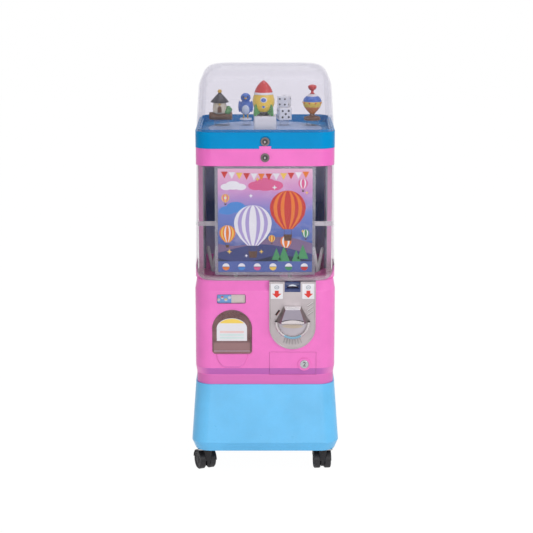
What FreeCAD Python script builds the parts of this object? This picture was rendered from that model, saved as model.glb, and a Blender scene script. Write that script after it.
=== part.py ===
import FreeCAD, Part
import math
import os

# Capsule vending machine on a wheeled stand. Millimetres, +Z up, front faces -Y.

# Overall plan of the cabinet
BODY_WIDTH = 370.0
BODY_DEPTH = 371.0
KNOB_REACH = 45.0
FRONT_CORNER = 42.0
BACK_CORNER = 28.0
WALL = 3.0
FLOOR = 4.0

# Heights of the stack, from the ground up
CASTER_HEIGHT = 67.0
FOOT_BEVEL_HEIGHT = 25.0
STAND_SIDE_HEIGHT = 156.0
BAND_HEIGHT = 27.0
BEVEL_HEIGHT = 21.0
PANEL_HEIGHT = 210.0
SHOULDER_HEIGHT = 24.0
WINDOW_HEIGHT = 304.0
FRAME_HEIGHT = 45.0
TRAY_HEIGHT = 43.0
DOME_HEIGHT = 154.0

# How far each storey stands out past the body's sides, and behind its front
FOOT_SPREAD = 11.5
FOOT_BEVEL_INSET = 9.0
FOOT_REACH = 12.0
STAND_TOP_SPREAD = 0.5
STAND_TOP_SET_BACK = 12.0
BAND_INSET = 2.5
BAND_SET_BACK = 14.0
WINDOW_INSET = 5.0
WINDOW_SET_BACK = 19.0
WINDOW_WALL = 3.0
SHOULDER_MARGIN = 1.0
RIM_WIDTH = 8.0
FRAME_INSET = 3.5
FRAME_WALL = 4.0
TRAY_INSET = 3.0
EDGE_ROUND = 4.0

# Rear shell of the hopper
WINDOW_SIDE_DEPTH = 149.0
FLANGE_WIDTH = 17.0
LINER_WALL = 2.0

# Poster in its clear holder
POSTER_WIDTH = 247.0
POSTER_HEIGHT = 275.0
POSTER_LIFT = 22.0
POSTER_THICK = 0.8
HOLDER_MARGIN = 8.0
HOLDER_THICK = 3.0
HOLDER_GAP = 1.5
STANDOFF_REACH = 42.0
STANDOFF_HEIGHT = 12.0
STANDOFF_LIFT = 144.0
STANDOFF_THICK = 6.0
SCREW_HEAD_RADIUS = 5.0
SCREW_HEAD_THICK = 2.5

# Knob and coin plate
KNOB_FROM_SIDE = 113.0
KNOB_LIFT = 130.0
KNOB_RADIUS = 45.0
KNOB_FLANGE = 11.0
KNOB_DISH_RADIUS = 37.0
KNOB_DISH_DEPTH = 5.0
KNOB_GAP = 0.8
KNOB_BEAD = 2.4
GRIP_TOP_HALF = 20.0
GRIP_FACE_SHRINK = 0.72
GRIP_ROUND = 4.0
GRIP_GROOVE_LIFT = 5.0
GRIP_GROOVE_RISE = 9.0
GRIP_GROOVE_MARGIN = 5.0
GRIP_GROOVE_DEPTH = 10.0
PLATE_HALF = 61.0
PLATE_ARC_DROP = 16.0
PLATE_THICK = 3.5
PLATE_TOP_MARGIN = 1.0
PLATE_EDGE_WIDTH = 3.0
PLATE_EDGE_DEPTH = 1.2
SLOT_WIDTH = 42.0
SLOT_HEIGHT = 27.0
SLOT_DEPTH = 14.0
COIN_SLIT_WIDTH = 29.0
COIN_SLIT_HEIGHT = 4.5
COIN_SLIT_LIFT = 8.0
RETURN_SLOT_LENGTH = 17.0
RETURN_SLOT_WIDTH = 5.5
RETURN_SLOT_ANGLE = 55.0
RETURN_SLOT_X = -39.0
RETURN_SLOT_LIFT = 22.0
RIB_COUNT = 6
RIB_LENGTH = 14.4
RIB_WIDTH = 2.6
RIB_PROUD = 1.2
RIB_PITCH_ANGLE = 7.5
SIDE_RIB_COUNT = 3
SIDE_RIB_LENGTH = 19.0
SIDE_RIB_ANGLE = 35.0
SIDE_RIB_PITCH = 12.0
SIDE_RIB_X = 38.0
SIDE_RIB_LIFT = 16.0

# Capsule door and chute
DOOR_WIDTH = 105.0
DOOR_LIFT = 39.0
DOOR_STRAIGHT = 74.0
DOOR_ARCH = 46.0
DOOR_OVERLAP = 1.5
DOOR_THICK = 3.0
DOOR_GAP = 0.5
DOOR_LOWER_CORNER = 8.0
DOOR_PIN_RADIUS = 2.0
DOOR_PIN_SET_BACK = 5.5
DOOR_KNUCKLE_RADIUS = 4.2
DOOR_KNUCKLE_OFFSET = 18.0
DOOR_KNUCKLE_WIDTH = 10.0
DOOR_LUG_WIDTH = 5.0
DOOR_LUG_GAP = 0.5
DOOR_FRAME_WIDTH = 4.0
DOOR_FRAME_DEPTH = 1.5
DOOR_BORDER_WIDTH = 2.0
DOOR_BORDER_DEPTH = 1.0
LIP_RADIUS = 41.0
LIP_PROUD = 3.0
LIP_ROUND = 2.4
CHUTE_WALL = 2.0
CHUTE_SIDE_HEIGHT = 44.0
CHUTE_SLOPE = 16.8
CHUTE_LENGTH = 186.0
CHUTE_DROP = 10.0
CHUTE_SIDE_GAP = 1.0

# Price window
PRICE_SHIFT = 1.7
PRICE_WIDTH = 76.0
PRICE_HEIGHT = 25.0
PRICE_LIFT = 176.0
PRICE_CORNER = 4.0
PRICE_MARGIN = 3.0
PRICE_LENS_THICK = 1.5
PRICE_CARD_THICK = 0.8

# Coin door with its box
COIN_DOOR_SHIFT = 1.0
COIN_DOOR_WIDTH = 123.0
COIN_DOOR_HEIGHT = 65.0
COIN_DOOR_GAP = 0.5
COIN_BOX_DEPTH = 160.0
COIN_BOX_HEIGHT = 36.0
COIN_BOX_SIDE_GAP = 5.0
COIN_BOX_SET_BACK = 24.0
COIN_BOX_LIFT = 4.0
COIN_BOX_WALL = 2.0
COIN_ARM_WIDTH = 3.0
GUIDE_WALL = 2.0
GUIDE_GAP = 0.4
COIN_LOCK_SHIFT = 32.0
COIN_LOCK_LIFT = 11.0
COIN_BOSS_RADIUS = 17.0
COIN_BOSS_PROUD = 2.5

# Locks
LOCK_BARREL_RADIUS = 11.5
LOCK_PLUG_RADIUS = 7.0
LOCK_FLANGE_THICK = 3.0
LOCK_BODY_RADIUS = 9.5
LOCK_LENGTH = 18.0
LOCK_KEYWAY_WIDTH = 1.6
LOCK_KEYWAY_LENGTH = 9.8
LOCK_CAM_LENGTH = 16.0
LOCK_CAM_WIDTH = 8.0
LOCK_CAM_THICK = 2.0
TURN_FIT = 0.06

# Capsule wheel and its gears
WHEEL_MARGIN = 17.0
WHEEL_HEIGHT = 62.0
WHEEL_LIFT = 202.0
WHEEL_WALL = 3.0
POCKET_COUNT = 6
POCKET_GAP = 10.0
POCKET_RIM = 10.0
POCKET_WALL = 2.0
DROP_ANGLE = 153.0
HUB_RADIUS = 20.0
HUB_FOOT_RADIUS = 32.0
SPINDLE_RADIUS = 8.0
WHEEL_GAP = 0.5
WHEEL_FLOOR_GAP = 2.0
WHEEL_FLOOR_THICK = 5.0
DROP_MARGIN = 2.0
POST_RADIUS = 7.0
POST_INSET = 23.0
POST_ANGLES = (10.0, 90.0, 140.0)
CROWN_SET_IN = 1.0
CROWN_FACE = 11.0
CROWN_RING = 4.0
CROWN_TEETH = 90
PINION_TEETH = 10
DRIVE_TEETH = 36
LAY_TEETH = 24
GEAR_FACE = 8.0
GEAR_SET_BACK = 22.0
GEAR_ANGLE = 20.0
ADDENDUM = 0.85
DEDENDUM = 1.15
WEB_HOLES = 5
WEB_HOLE_SHARE = 0.2
WEB_HOLE_RING = 0.55
SPUR_BACKLASH = 0.5
CROWN_BACKLASH = 1.4
SHAFT_RADIUS = 6.0
BUSH_WALL = 3.0
BUSH_LENGTH = 8.0
PRESS_FLANGE = 3.0
BRACKET_THICK = 3.0
BRACKET_MARGIN = 10.0
COIN_DISC_RADIUS = 30.0
COIN_DISC_THICK = 4.0
COIN_DISC_SET_BACK = 13.0
COIN_NOTCH_RADIUS = 14.0
COIN_CHUTE_WIDTH = 40.0
COIN_CHUTE_DEPTH = 13.0
COIN_CHUTE_WALL = 1.5
FINGER_RADIUS = 3.2
FINGER_HEIGHT = 70.0
FINGER_INSET = 11.0
FINGER_INNER_LEAN = 12.0
FINGER_OUTER_LEAN = 16.0
FINGER_FOOT_RADIUS = 6.0
FINGER_FOOT_HEIGHT = 4.0

# Display on top
TRAY_FLOOR_DEPTH = 13.0
TRAY_FLOOR_THICK = 4.0
TRAY_RIM = 13.0
TRAY_SKIRT = 4.0
TRAY_LIP_WIDTH = 2.5
TRAY_LIP_HEIGHT = 6.0
LID_GAP = 0.4
DOME_INSET = 2.5
DOME_DRAFT = 9.0
DOME_WALL = 3.0
DOME_SIDE_ROUND = 40.0
DOME_FRONT_ROUND = 95.0
DOME_STEPS = 12
LOCK_RECESS_WIDTH = 27.0
LOCK_RECESS_HEIGHT = 26.0
LOCK_RECESS_DEPTH = 3.0
LOCK_RECESS_LIFT = 7.0
LOCK_RECESS_ROUND = 12.0
TAB_WIDTH = 31.0
TAB_HEIGHT = 7.0
TAB_THICK = 2.5
STAGE_RADIUS = 152.0
STAGE_THICK = 3.0
HOUSING_WIDTH = 58.0
HOUSING_DEPTH = 44.0
HOUSING_HEIGHT = 48.0
HOUSING_WALL = 2.5
RISER_THICK = 2.0
RISER_HEIGHT = 86.0

# Toys on the stage; turned outlines are shares of a radius and a height
STAND_HEIGHT = 14.0
STAND_SHARE = 0.7
TOY_SET_BACK = 58.0
LOG_X = -118.0
LOG_RADIUS = 10.0
LOG_LENGTH = 62.0
COTTAGE_RADIUS = 23.0
COTTAGE_HEIGHT = 74.0
COTTAGE = ((0.55, 0.2), (0.8, 0.3), (0.8, 0.55), (0.65, 0.63), (1.0, 0.63), (0.5, 0.82),
           (0.15, 0.92), (0.22, 1.0))
BIRD_X = -50.0
BIRD_RADIUS = 15.0
BIRD_HEIGHT = 62.0
BIRD = ((0.85, 0.0), (0.85, 0.06), (0.35, 0.1), (0.8, 0.24), (1.0, 0.45), (0.65, 0.68),
        (0.8, 0.84), (0.4, 1.0))
DICE_X = 52.0
DICE_SIZES = (35.0, 31.0)
DICE_ANGLES = (12.0, -21.0)
TOP_X = 128.0
TOP_RADIUS = 25.0
TOP_HEIGHT = 86.0
TOP = ((0.8, 0.0), (0.8, 0.07), (0.24, 0.14), (0.24, 0.19), (1.0, 0.46), (1.0, 0.54),
       (0.55, 0.7), (0.16, 0.77), (0.16, 0.84), (0.44, 0.92), (0.3, 1.0))
ROCKET_RADIUS = 23.0
ROCKET_HEIGHT = 82.0
ROCKET = ((0.45, 0.0), (0.55, 0.1), (1.0, 0.32), (0.95, 0.52), (0.8, 0.64), (0.6, 0.78),
          (0.25, 0.94), (0.05, 1.0))
FIN_REACH = 27.0
FIN_HEIGHT = 30.0
FIN_THICK = 3.6

# Casters
CASTER_WHEEL_RADIUS = 25.0
CASTER_WHEEL_WIDTH = 18.0
CASTER_WEB = 9.0
CASTER_GAP = 0.8
CASTER_TRAIL = 20.0
CASTER_HOOD_WALL = 2.5
CASTER_AXLE_RADIUS = 3.0
CASTER_HUB_RADII = (7.5, 10.0)
CASTER_RIM_RADII = (18.0, 20.0)
CASTER_STEM_RADIUS = 5.0
CASTER_STEM_INSET_X = 41.0
CASTER_STEM_INSET_FRONT = 47.0
CASTER_STEM_INSET_REAR = 58.0
CASTER_PLATE_SIZE = 52.0
CASTER_PLATE_THICK = 3.0
CASTER_SOCKET_RADIUS = 11.0
CASTER_SOCKET_HEIGHT = 6.0
CASTER_ANGLES = {"front_left": 23.0, "front_right": 4.0, "rear_left": -32.0, "rear_right": 18.0}

# Places worked out from the sizes above
FOOT_WIDTH = BODY_WIDTH + 2 * FOOT_SPREAD
STAND_TOP_WIDTH = BODY_WIDTH + 2 * STAND_TOP_SPREAD
BAND_WIDTH = BODY_WIDTH - 2 * BAND_INSET
WINDOW_WIDTH = BODY_WIDTH - 2 * WINDOW_INSET
FRAME_WIDTH = BODY_WIDTH - 2 * FRAME_INSET
TRAY_WIDTH = BODY_WIDTH - 2 * TRAY_INSET
DOME_WIDTH = TRAY_WIDTH - 2 * DOME_INSET
FRONT_Y = (KNOB_REACH - BODY_DEPTH) / 2
BACK_Y = FRONT_Y + BODY_DEPTH
STAND_Z = CASTER_HEIGHT
FOOT_Z = STAND_Z + FOOT_BEVEL_HEIGHT
BAND_Z = FOOT_Z + STAND_SIDE_HEIGHT
BEVEL_Z = BAND_Z + BAND_HEIGHT
PANEL_Z = BEVEL_Z + BEVEL_HEIGHT
SHOULDER_Z = PANEL_Z + PANEL_HEIGHT
WINDOW_Z = SHOULDER_Z + SHOULDER_HEIGHT
FRAME_Z = WINDOW_Z + WINDOW_HEIGHT
TRAY_Z = FRAME_Z + FRAME_HEIGHT
DOME_Z = TRAY_Z + TRAY_HEIGHT
TOP_Z = DOME_Z + DOME_HEIGHT
PANEL_BACK = FRONT_Y + WALL
WINDOW_FRONT = FRONT_Y + WINDOW_SET_BACK
WINDOW_CORNER = FRONT_CORNER - SHOULDER_MARGIN
WINDOW_BACK = WINDOW_FRONT + WINDOW_SIDE_DEPTH
BODY_FLOOR_Z = BAND_Z + FLOOR
SPLIT_Y = FRONT_Y + FRONT_CORNER + BAND_SET_BACK
KNOB_Z = PANEL_Z + KNOB_LIFT
HOPPER_FRONT = WINDOW_FRONT + WINDOW_WALL
HOPPER_BACK = BACK_Y - WALL - LINER_WALL
WHEEL_Z = BODY_FLOOR_Z + WHEEL_LIFT
WHEEL_Y = (HOPPER_FRONT + HOPPER_BACK) / 2
WHEEL_RADIUS = min(HOPPER_BACK - HOPPER_FRONT, WINDOW_WIDTH - 2 * WINDOW_WALL) / 2 - WHEEL_MARGIN
POCKET_PITCH_RADIUS = (WHEEL_RADIUS - WHEEL_WALL - POCKET_RIM + POCKET_GAP / 2) / 1.5
POCKET_RADIUS = (POCKET_PITCH_RADIUS - POCKET_GAP) / 2 - POCKET_WALL
DROP_RADIUS = POCKET_RADIUS + DROP_MARGIN
DOOR_X = POCKET_PITCH_RADIUS * math.cos(math.radians(DROP_ANGLE))
KNOB_X = BODY_WIDTH / 2 - KNOB_FROM_SIDE
PRICE_X = DOOR_X - PRICE_SHIFT
COIN_DOOR_X = KNOB_X + COIN_DOOR_SHIFT
COIN_LOCK_X = KNOB_X + COIN_LOCK_SHIFT
CROWN_OUTER = WHEEL_RADIUS - CROWN_SET_IN
CROWN_INNER = CROWN_OUTER - CROWN_FACE
WHEEL_FLOOR_RADIUS = CROWN_INNER - WHEEL_FLOOR_GAP
POST_PITCH_RADIUS = WHEEL_FLOOR_RADIUS - POST_INSET
FINGER_ROOT_RADIUS = WHEEL_RADIUS - FINGER_INSET
CROWN_PITCH_RADIUS = CROWN_INNER + CROWN_FACE / 2
CROWN_MODULE = 2 * CROWN_PITCH_RADIUS / CROWN_TEETH
PINION_RADIUS = CROWN_MODULE * PINION_TEETH / 2
CROWN_PITCH_Z = WHEEL_Z - CROWN_RING - CROWN_MODULE
LAY_Z = CROWN_PITCH_Z - PINION_RADIUS
LAY_X = 0.0
SPUR_DISTANCE = math.hypot(KNOB_X - LAY_X, KNOB_Z - LAY_Z)
SPUR_MODULE = 2 * SPUR_DISTANCE / (DRIVE_TEETH + LAY_TEETH)
DRIVE_RADIUS = SPUR_MODULE * DRIVE_TEETH / 2
LAY_RADIUS = SPUR_MODULE * LAY_TEETH / 2
GEAR_Y = FRONT_Y + GEAR_SET_BACK
BRACKET_Y = GEAR_Y + GEAR_FACE + WALL
PINION_Y = WHEEL_Y - CROWN_OUTER
TRAY_FLOOR_Z = DOME_Z - TRAY_FLOOR_DEPTH
DOOR_Z = PANEL_Z + DOOR_LIFT


def vec(x, y, z):
    return FreeCAD.Vector(x, y, z)


def box(x0, x1, y0, y1, z0, z1):
    return Part.makeBox(x1 - x0, y1 - y0, z1 - z0, vec(x0, y0, z0))


def rod(radius, start, direction, length):
    return Part.makeCylinder(radius, length, start, direction)


def rod_x(radius, x0, x1, y, z):
    return rod(radius, vec(x0, y, z), vec(1, 0, 0), x1 - x0)


def rod_y(radius, y0, y1, x, z):
    return rod(radius, vec(x, y0, z), vec(0, 1, 0), y1 - y0)


def rod_z(radius, z0, z1, x, y):
    return rod(radius, vec(x, y, z0), vec(0, 0, 1), z1 - z0)


def fuse(shapes):
    whole = shapes[0]
    if len(shapes) > 1:
        whole = shapes[0].multiFuse(shapes[1:])
    return whole.removeSplitter()


def on_plan(z):
    return lambda u, v: vec(u, v, z)


def on_front(y):
    return lambda u, v: vec(u, y, v)


def on_side(x):
    return lambda u, v: vec(x, u, v)


def rounded_wire(corners, place):
    """Closed outline through (u, v, radius) corners, each rounded by its own radius."""
    count = len(corners)
    stretches = []
    for i, (u, v, radius) in enumerate(corners):
        here = vec(u, v, 0)
        before = vec(corners[i - 1][0], corners[i - 1][1], 0) - here
        after = vec(corners[(i + 1) % count][0], corners[(i + 1) % count][1], 0) - here
        before.normalize()
        after.normalize()
        if radius <= 0:
            stretches.append((here, None, here))
            continue
        half_angle = before.getAngle(after) / 2
        bisector = before + after
        bisector.normalize()
        cut = radius / math.tan(half_angle)
        middle = here + bisector * (radius / math.sin(half_angle) - radius)
        stretches.append((here + before * cut, middle, here + after * cut))
    edges = []
    for i, (start, middle, end) in enumerate(stretches):
        if middle is not None:
            points = [place(p.x, p.y) for p in (start, middle, end)]
            edges.append(Part.Arc(*points).toShape())
        following = stretches[(i + 1) % count][0]
        if (following - end).Length > 1e-6:
            edges.append(Part.LineSegment(place(end.x, end.y), place(following.x, following.y)).toShape())
    return Part.Wire(edges)


def slab(corners, place, depth):
    return Part.Face(rounded_wire(corners, place)).extrude(depth)


def rectangle(u0, u1, v0, v1, radius):
    return [(u0, v0, radius), (u1, v0, radius), (u1, v1, radius), (u0, v1, radius)]


def plan_wire(z, width, front, inset=0.0, corner=FRONT_CORNER):
    """Cabinet outline at one height, drawn in by inset from the flush back plane too."""
    half = width / 2 - inset
    front_y = front + inset
    back_y = BACK_Y - inset
    front_radius = max(corner - inset, 1.0)
    back_radius = max(BACK_CORNER - inset, 1.0)
    corners = [(-half, front_y, front_radius), (half, front_y, front_radius)]
    corners += [(half, back_y, back_radius), (-half, back_y, back_radius)]
    return rounded_wire(corners, on_plan(z))


def plan_block(z0, z1, width, front, inset=0.0, corner=FRONT_CORNER):
    return Part.Face(plan_wire(z0, width, front, inset, corner)).extrude(vec(0, 0, z1 - z0))


def plan_ring(z0, z1, width, front, wall, corner=FRONT_CORNER, inset=0.0):
    outer = plan_block(z0, z1, width, front, inset, corner)
    return outer.cut(plan_block(z0, z1, width, front, inset + wall, corner))


def level_edges(shape, z):
    """Edges that lie flat at one height."""
    flat = []
    for edge in shape.Edges:
        bounds = edge.BoundBox
        if abs(bounds.ZMin - z) < 1e-4 and abs(bounds.ZMax - z) < 1e-4:
            flat.append(edge)
    return flat


def lower_body():
    """Outer form of the lower cabinet: band, undercut bevel, panel and sloping shoulder."""
    seat_width = WINDOW_WIDTH + 2 * SHOULDER_MARGIN
    seat_front = WINDOW_FRONT - SHOULDER_MARGIN
    band_front = FRONT_Y + BAND_SET_BACK
    sections = [(BAND_Z, BAND_WIDTH, band_front), (BEVEL_Z, BAND_WIDTH, band_front)]
    sections += [(PANEL_Z, BODY_WIDTH, FRONT_Y), (SHOULDER_Z, BODY_WIDTH, FRONT_Y)]
    sections += [(WINDOW_Z, seat_width, seat_front)]
    outer = Part.makeLoft([plan_wire(*section) for section in sections], True, True)
    rounded = level_edges(outer, SHOULDER_Z)
    return outer.makeFillet(EDGE_ROUND, rounded)


def lower_hollow():
    """Inside of the lower cabinet, open below and above."""
    low = FRONT_Y + BAND_SET_BACK
    top = WINDOW_Z + WALL
    bands = [(BAND_Z - WALL, BAND_WIDTH, low, WALL), (BEVEL_Z + WALL, BAND_WIDTH, low, WALL)]
    bands += [(PANEL_Z + WALL, BODY_WIDTH, FRONT_Y, WALL), (SHOULDER_Z - WALL, BODY_WIDTH, FRONT_Y, WALL)]
    rim = RIM_WIDTH - SHOULDER_MARGIN
    bands += [(WINDOW_Z - WALL, WINDOW_WIDTH, WINDOW_FRONT, rim), (top, WINDOW_WIDTH, WINDOW_FRONT, rim)]
    return Part.makeLoft([plan_wire(*band) for band in bands], True, True)


def front_zone():
    reach = BODY_WIDTH
    return box(-reach, reach, FRONT_Y - reach, SPLIT_Y, BAND_Z - reach, WINDOW_Z + reach)


def door_outline(margin, y):
    """Arch of the capsule opening, grown by margin."""
    half = DOOR_WIDTH / 2 + margin
    low = DOOR_Z - margin
    spring = DOOR_Z + DOOR_STRAIGHT
    crown = spring + DOOR_ARCH + margin
    corner = DOOR_LOWER_CORNER
    place = on_front(y)
    left = DOOR_X - half
    right = DOOR_X + half
    slant = corner * (1 - math.sqrt(0.5))
    edges = [Part.LineSegment(place(left + corner, low), place(right - corner, low)).toShape()]
    edges.append(Part.Arc(place(right - corner, low), place(right - slant, low + slant),
                          place(right, low + corner)).toShape())
    edges.append(Part.LineSegment(place(right, low + corner), place(right, spring)).toShape())
    edges.append(Part.Arc(place(right, spring), place(DOOR_X, crown), place(left, spring)).toShape())
    edges.append(Part.LineSegment(place(left, spring), place(left, low + corner)).toShape())
    edges.append(Part.Arc(place(left, low + corner), place(left + slant, low + slant),
                          place(left + corner, low)).toShape())
    return Part.Wire(edges)


def door_block(margin, y0, y1):
    return Part.Face(door_outline(margin, y0)).extrude(vec(0, y1 - y0, 0))


def coin_door_zone(grow):
    half = COIN_DOOR_WIDTH / 2 + grow
    low = BEVEL_Z - grow
    high = BEVEL_Z + COIN_DOOR_HEIGHT + grow
    return box(COIN_DOOR_X - half, COIN_DOOR_X + half, FRONT_Y - WALL, SPLIT_Y, low, high)


def price_zone(margin, y0, y1):
    low = PANEL_Z + PRICE_LIFT - margin
    half = PRICE_WIDTH / 2 + margin
    corners = rectangle(PRICE_X - half, PRICE_X + half, low, low + PRICE_HEIGHT + 2 * margin, PRICE_CORNER)
    return slab(corners, on_front(y0), vec(0, y1 - y0, 0))


def door_pin_place():
    crown = DOOR_Z + DOOR_STRAIGHT + DOOR_ARCH
    return PANEL_BACK + DOOR_PIN_SET_BACK, crown + DOOR_KNUCKLE_RADIUS


def slot_zone(grow, y0, y1):
    half = SLOT_WIDTH / 2 + grow
    high = WINDOW_Z + PLATE_TOP_MARGIN + WALL
    low = WINDOW_Z + PLATE_TOP_MARGIN - SLOT_HEIGHT - grow
    return box(KNOB_X - half, KNOB_X + half, y0, y1, low, high)


# Wheeled stand
def stand_form(inset):
    front = FRONT_Y - FOOT_REACH
    sections = [(STAND_Z, FOOT_WIDTH - 2 * FOOT_BEVEL_INSET, front + FOOT_BEVEL_INSET, inset)]
    sections += [(FOOT_Z, FOOT_WIDTH, front, inset)]
    sections += [(BAND_Z, STAND_TOP_WIDTH, FRONT_Y + STAND_TOP_SET_BACK, inset)]
    return Part.makeLoft([plan_wire(*section) for section in sections], True, True)


def stand_shell():
    reach = BODY_DEPTH
    deck = box(-FOOT_WIDTH, FOOT_WIDTH, FRONT_Y - reach, BACK_Y + reach, STAND_Z - WALL, BAND_Z - WALL)
    return stand_form(0.0).cut(stand_form(WALL).common(deck))


def stand_floor():
    width = FOOT_WIDTH - 2 * FOOT_BEVEL_INSET
    front = FRONT_Y - FOOT_REACH + FOOT_BEVEL_INSET
    return plan_block(STAND_Z, STAND_Z + FLOOR, width, front, WALL)


def stem_places():
    half = FOOT_WIDTH / 2 - CASTER_STEM_INSET_X
    front = FRONT_Y - FOOT_REACH + CASTER_STEM_INSET_FRONT
    rear = BACK_Y - CASTER_STEM_INSET_REAR
    return {"front_left": (-half, front), "front_right": (half, front),
            "rear_left": (-half, rear), "rear_right": (half, rear)}


def caster_plates():
    plates = []
    half = CASTER_PLATE_SIZE / 2
    for x, y in stem_places().values():
        corners = rectangle(x - half, x + half, y - half, y + half, CASTER_SOCKET_RADIUS / 2)
        plate = slab(corners, on_plan(STAND_Z - CASTER_PLATE_THICK), vec(0, 0, CASTER_PLATE_THICK))
        low = STAND_Z - CASTER_PLATE_THICK - CASTER_SOCKET_HEIGHT
        socket = rod_z(CASTER_SOCKET_RADIUS, low, STAND_Z, x, y)
        bore = rod_z(CASTER_STEM_RADIUS + TURN_FIT, low, STAND_Z, x, y)
        plates.append(plate.fuse(socket).cut(bore).removeSplitter())
    return Part.makeCompound(plates)


def caster_hood():
    """Hood of a twin-wheel caster, its stem on the Z axis and its axle behind it."""
    side = CASTER_WEB / 2 + CASTER_GAP + CASTER_WHEEL_WIDTH
    inner = CASTER_WHEEL_RADIUS + CASTER_GAP
    outer = inner + CASTER_HOOD_WALL
    axle_z = CASTER_WHEEL_RADIUS
    cover = rod_x(outer, -side, side, CASTER_TRAIL, axle_z)
    cover = cover.cut(rod_x(inner, -side, side, CASTER_TRAIL, axle_z))
    keep = box(-side, side, CASTER_TRAIL - 2 * outer, CASTER_TRAIL + outer,
               axle_z + CASTER_AXLE_RADIUS, 2 * outer)
    cover = cover.common(keep)
    web = rod_x(outer, -CASTER_WEB / 2, CASTER_WEB / 2, CASTER_TRAIL, axle_z)
    web = web.cut(box(-side, side, -2 * outer, 2 * outer + CASTER_TRAIL,
                      -outer, axle_z - CASTER_WHEEL_RADIUS / 2))
    axle = rod_x(CASTER_AXLE_RADIUS, -side, side, CASTER_TRAIL, axle_z)
    low = STAND_Z - CASTER_PLATE_THICK - CASTER_SOCKET_HEIGHT - CASTER_GAP
    neck = rod_z(CASTER_SOCKET_RADIUS, axle_z + CASTER_AXLE_RADIUS + CASTER_HOOD_WALL, low, 0, 0)
    wheels = rod_x(inner, -side, side, CASTER_TRAIL, axle_z)
    neck = neck.cut(wheels.cut(box(-CASTER_WEB / 2, CASTER_WEB / 2, -outer, 2 * outer, 0, 2 * outer)))
    stem = rod_z(CASTER_STEM_RADIUS, low - CASTER_GAP, STAND_Z - CASTER_GAP, 0, 0)
    return fuse([cover, web, axle, neck, stem])


def caster_wheels():
    wheels = []
    groove = CASTER_HOOD_WALL
    for side in (-1, 1):
        near = CASTER_WEB / 2 + CASTER_GAP / 2
        far = near + CASTER_WHEEL_WIDTH
        profile = [(near, CASTER_AXLE_RADIUS + TURN_FIT, 0), (far, CASTER_AXLE_RADIUS + TURN_FIT, 0)]
        profile += [(far, CASTER_HUB_RADII[0], 0), (far - groove, CASTER_HUB_RADII[1], 0)]
        profile += [(far - groove, CASTER_RIM_RADII[0], 0), (far, CASTER_RIM_RADII[1], 0)]
        profile += [(far, CASTER_WHEEL_RADIUS - groove, 0), (far - groove, CASTER_WHEEL_RADIUS, 0)]
        profile += [(near + groove, CASTER_WHEEL_RADIUS, 0), (near, CASTER_WHEEL_RADIUS - groove, 0)]
        place = lambda u, v: vec(side * u, CASTER_TRAIL, CASTER_WHEEL_RADIUS + v)
        face = Part.Face(rounded_wire(profile, place))
        wheels.append(face.revolve(vec(0, CASTER_TRAIL, CASTER_WHEEL_RADIUS), vec(1, 0, 0), 360))
    return Part.makeCompound(wheels)


def at_caster(shape, corner):
    x, y = stem_places()[corner]
    placed = shape.copy()
    placed.rotate(vec(0, 0, 0), vec(0, 0, 1), CASTER_ANGLES[corner])
    placed.translate(vec(x, y, 0))
    return placed


# Lower cabinet
def lower_shell(walls):
    floor = plan_block(BAND_Z, BODY_FLOOR_Z, BAND_WIDTH, FRONT_Y + BAND_SET_BACK, WALL)
    return fuse([walls.cut(front_zone()), floor])


def door_lip():
    """Half-round finger lip under the capsule opening, proud of the panel."""
    disc = rod_y(LIP_RADIUS, FRONT_Y - LIP_PROUD, FRONT_Y + WALL, DOOR_X, DOOR_Z)
    below = box(DOOR_X - LIP_RADIUS, DOOR_X + LIP_RADIUS, FRONT_Y - LIP_PROUD, FRONT_Y + WALL,
                PANEL_Z + WALL, DOOR_Z)
    half = disc.common(below)
    fronts = [edge for edge in half.Edges if abs(edge.BoundBox.YMax - FRONT_Y + LIP_PROUD) < 1e-4]
    return half.makeFillet(LIP_ROUND, fronts)


def door_lugs():
    pin_y, pin_z = door_pin_place()
    lugs = []
    reach = DOOR_KNUCKLE_OFFSET + DOOR_KNUCKLE_WIDTH / 2 + DOOR_LUG_GAP
    for side in (-1, 1):
        near = DOOR_X + side * reach
        far = near + side * DOOR_LUG_WIDTH
        x0 = min(near, far)
        x1 = max(near, far)
        height = DOOR_KNUCKLE_RADIUS
        block = box(x0, x1, PANEL_BACK - WALL / 2, pin_y, pin_z - height, pin_z + height)
        cheek = rod_x(height, x0, x1, pin_y, pin_z)
        lugs.append(block.fuse(cheek).cut(rod_x(DOOR_PIN_RADIUS, x0, x1, pin_y, pin_z)))
    return lugs


def front_panel(walls):
    panel = walls.common(front_zone())
    panel = panel.cut(door_block(DOOR_BORDER_WIDTH, FRONT_Y - WALL, FRONT_Y + DOOR_BORDER_DEPTH))
    panel = fuse([panel, door_lip()] + door_lugs())
    cuts = [door_block(0.0, FRONT_Y - WALL, PANEL_BACK + WALL)]
    cuts.append(price_zone(0.0, FRONT_Y - WALL, PANEL_BACK + WALL))
    cuts.append(coin_door_zone(COIN_DOOR_GAP))
    cuts.append(slot_zone(0.0, FRONT_Y - WALL, WINDOW_FRONT + RIM_WIDTH))
    cuts.append(rod_y(SHAFT_RADIUS + BUSH_WALL, FRONT_Y - WALL, PANEL_BACK + WALL, KNOB_X, KNOB_Z))
    for cut in cuts:
        panel = panel.cut(cut)
    return panel


def price_lens():
    return price_zone(PRICE_MARGIN, PANEL_BACK, PANEL_BACK + PRICE_LENS_THICK)


def price_card():
    near = PANEL_BACK + PRICE_LENS_THICK
    return price_zone(PRICE_MARGIN, near, near + PRICE_CARD_THICK)


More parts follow.
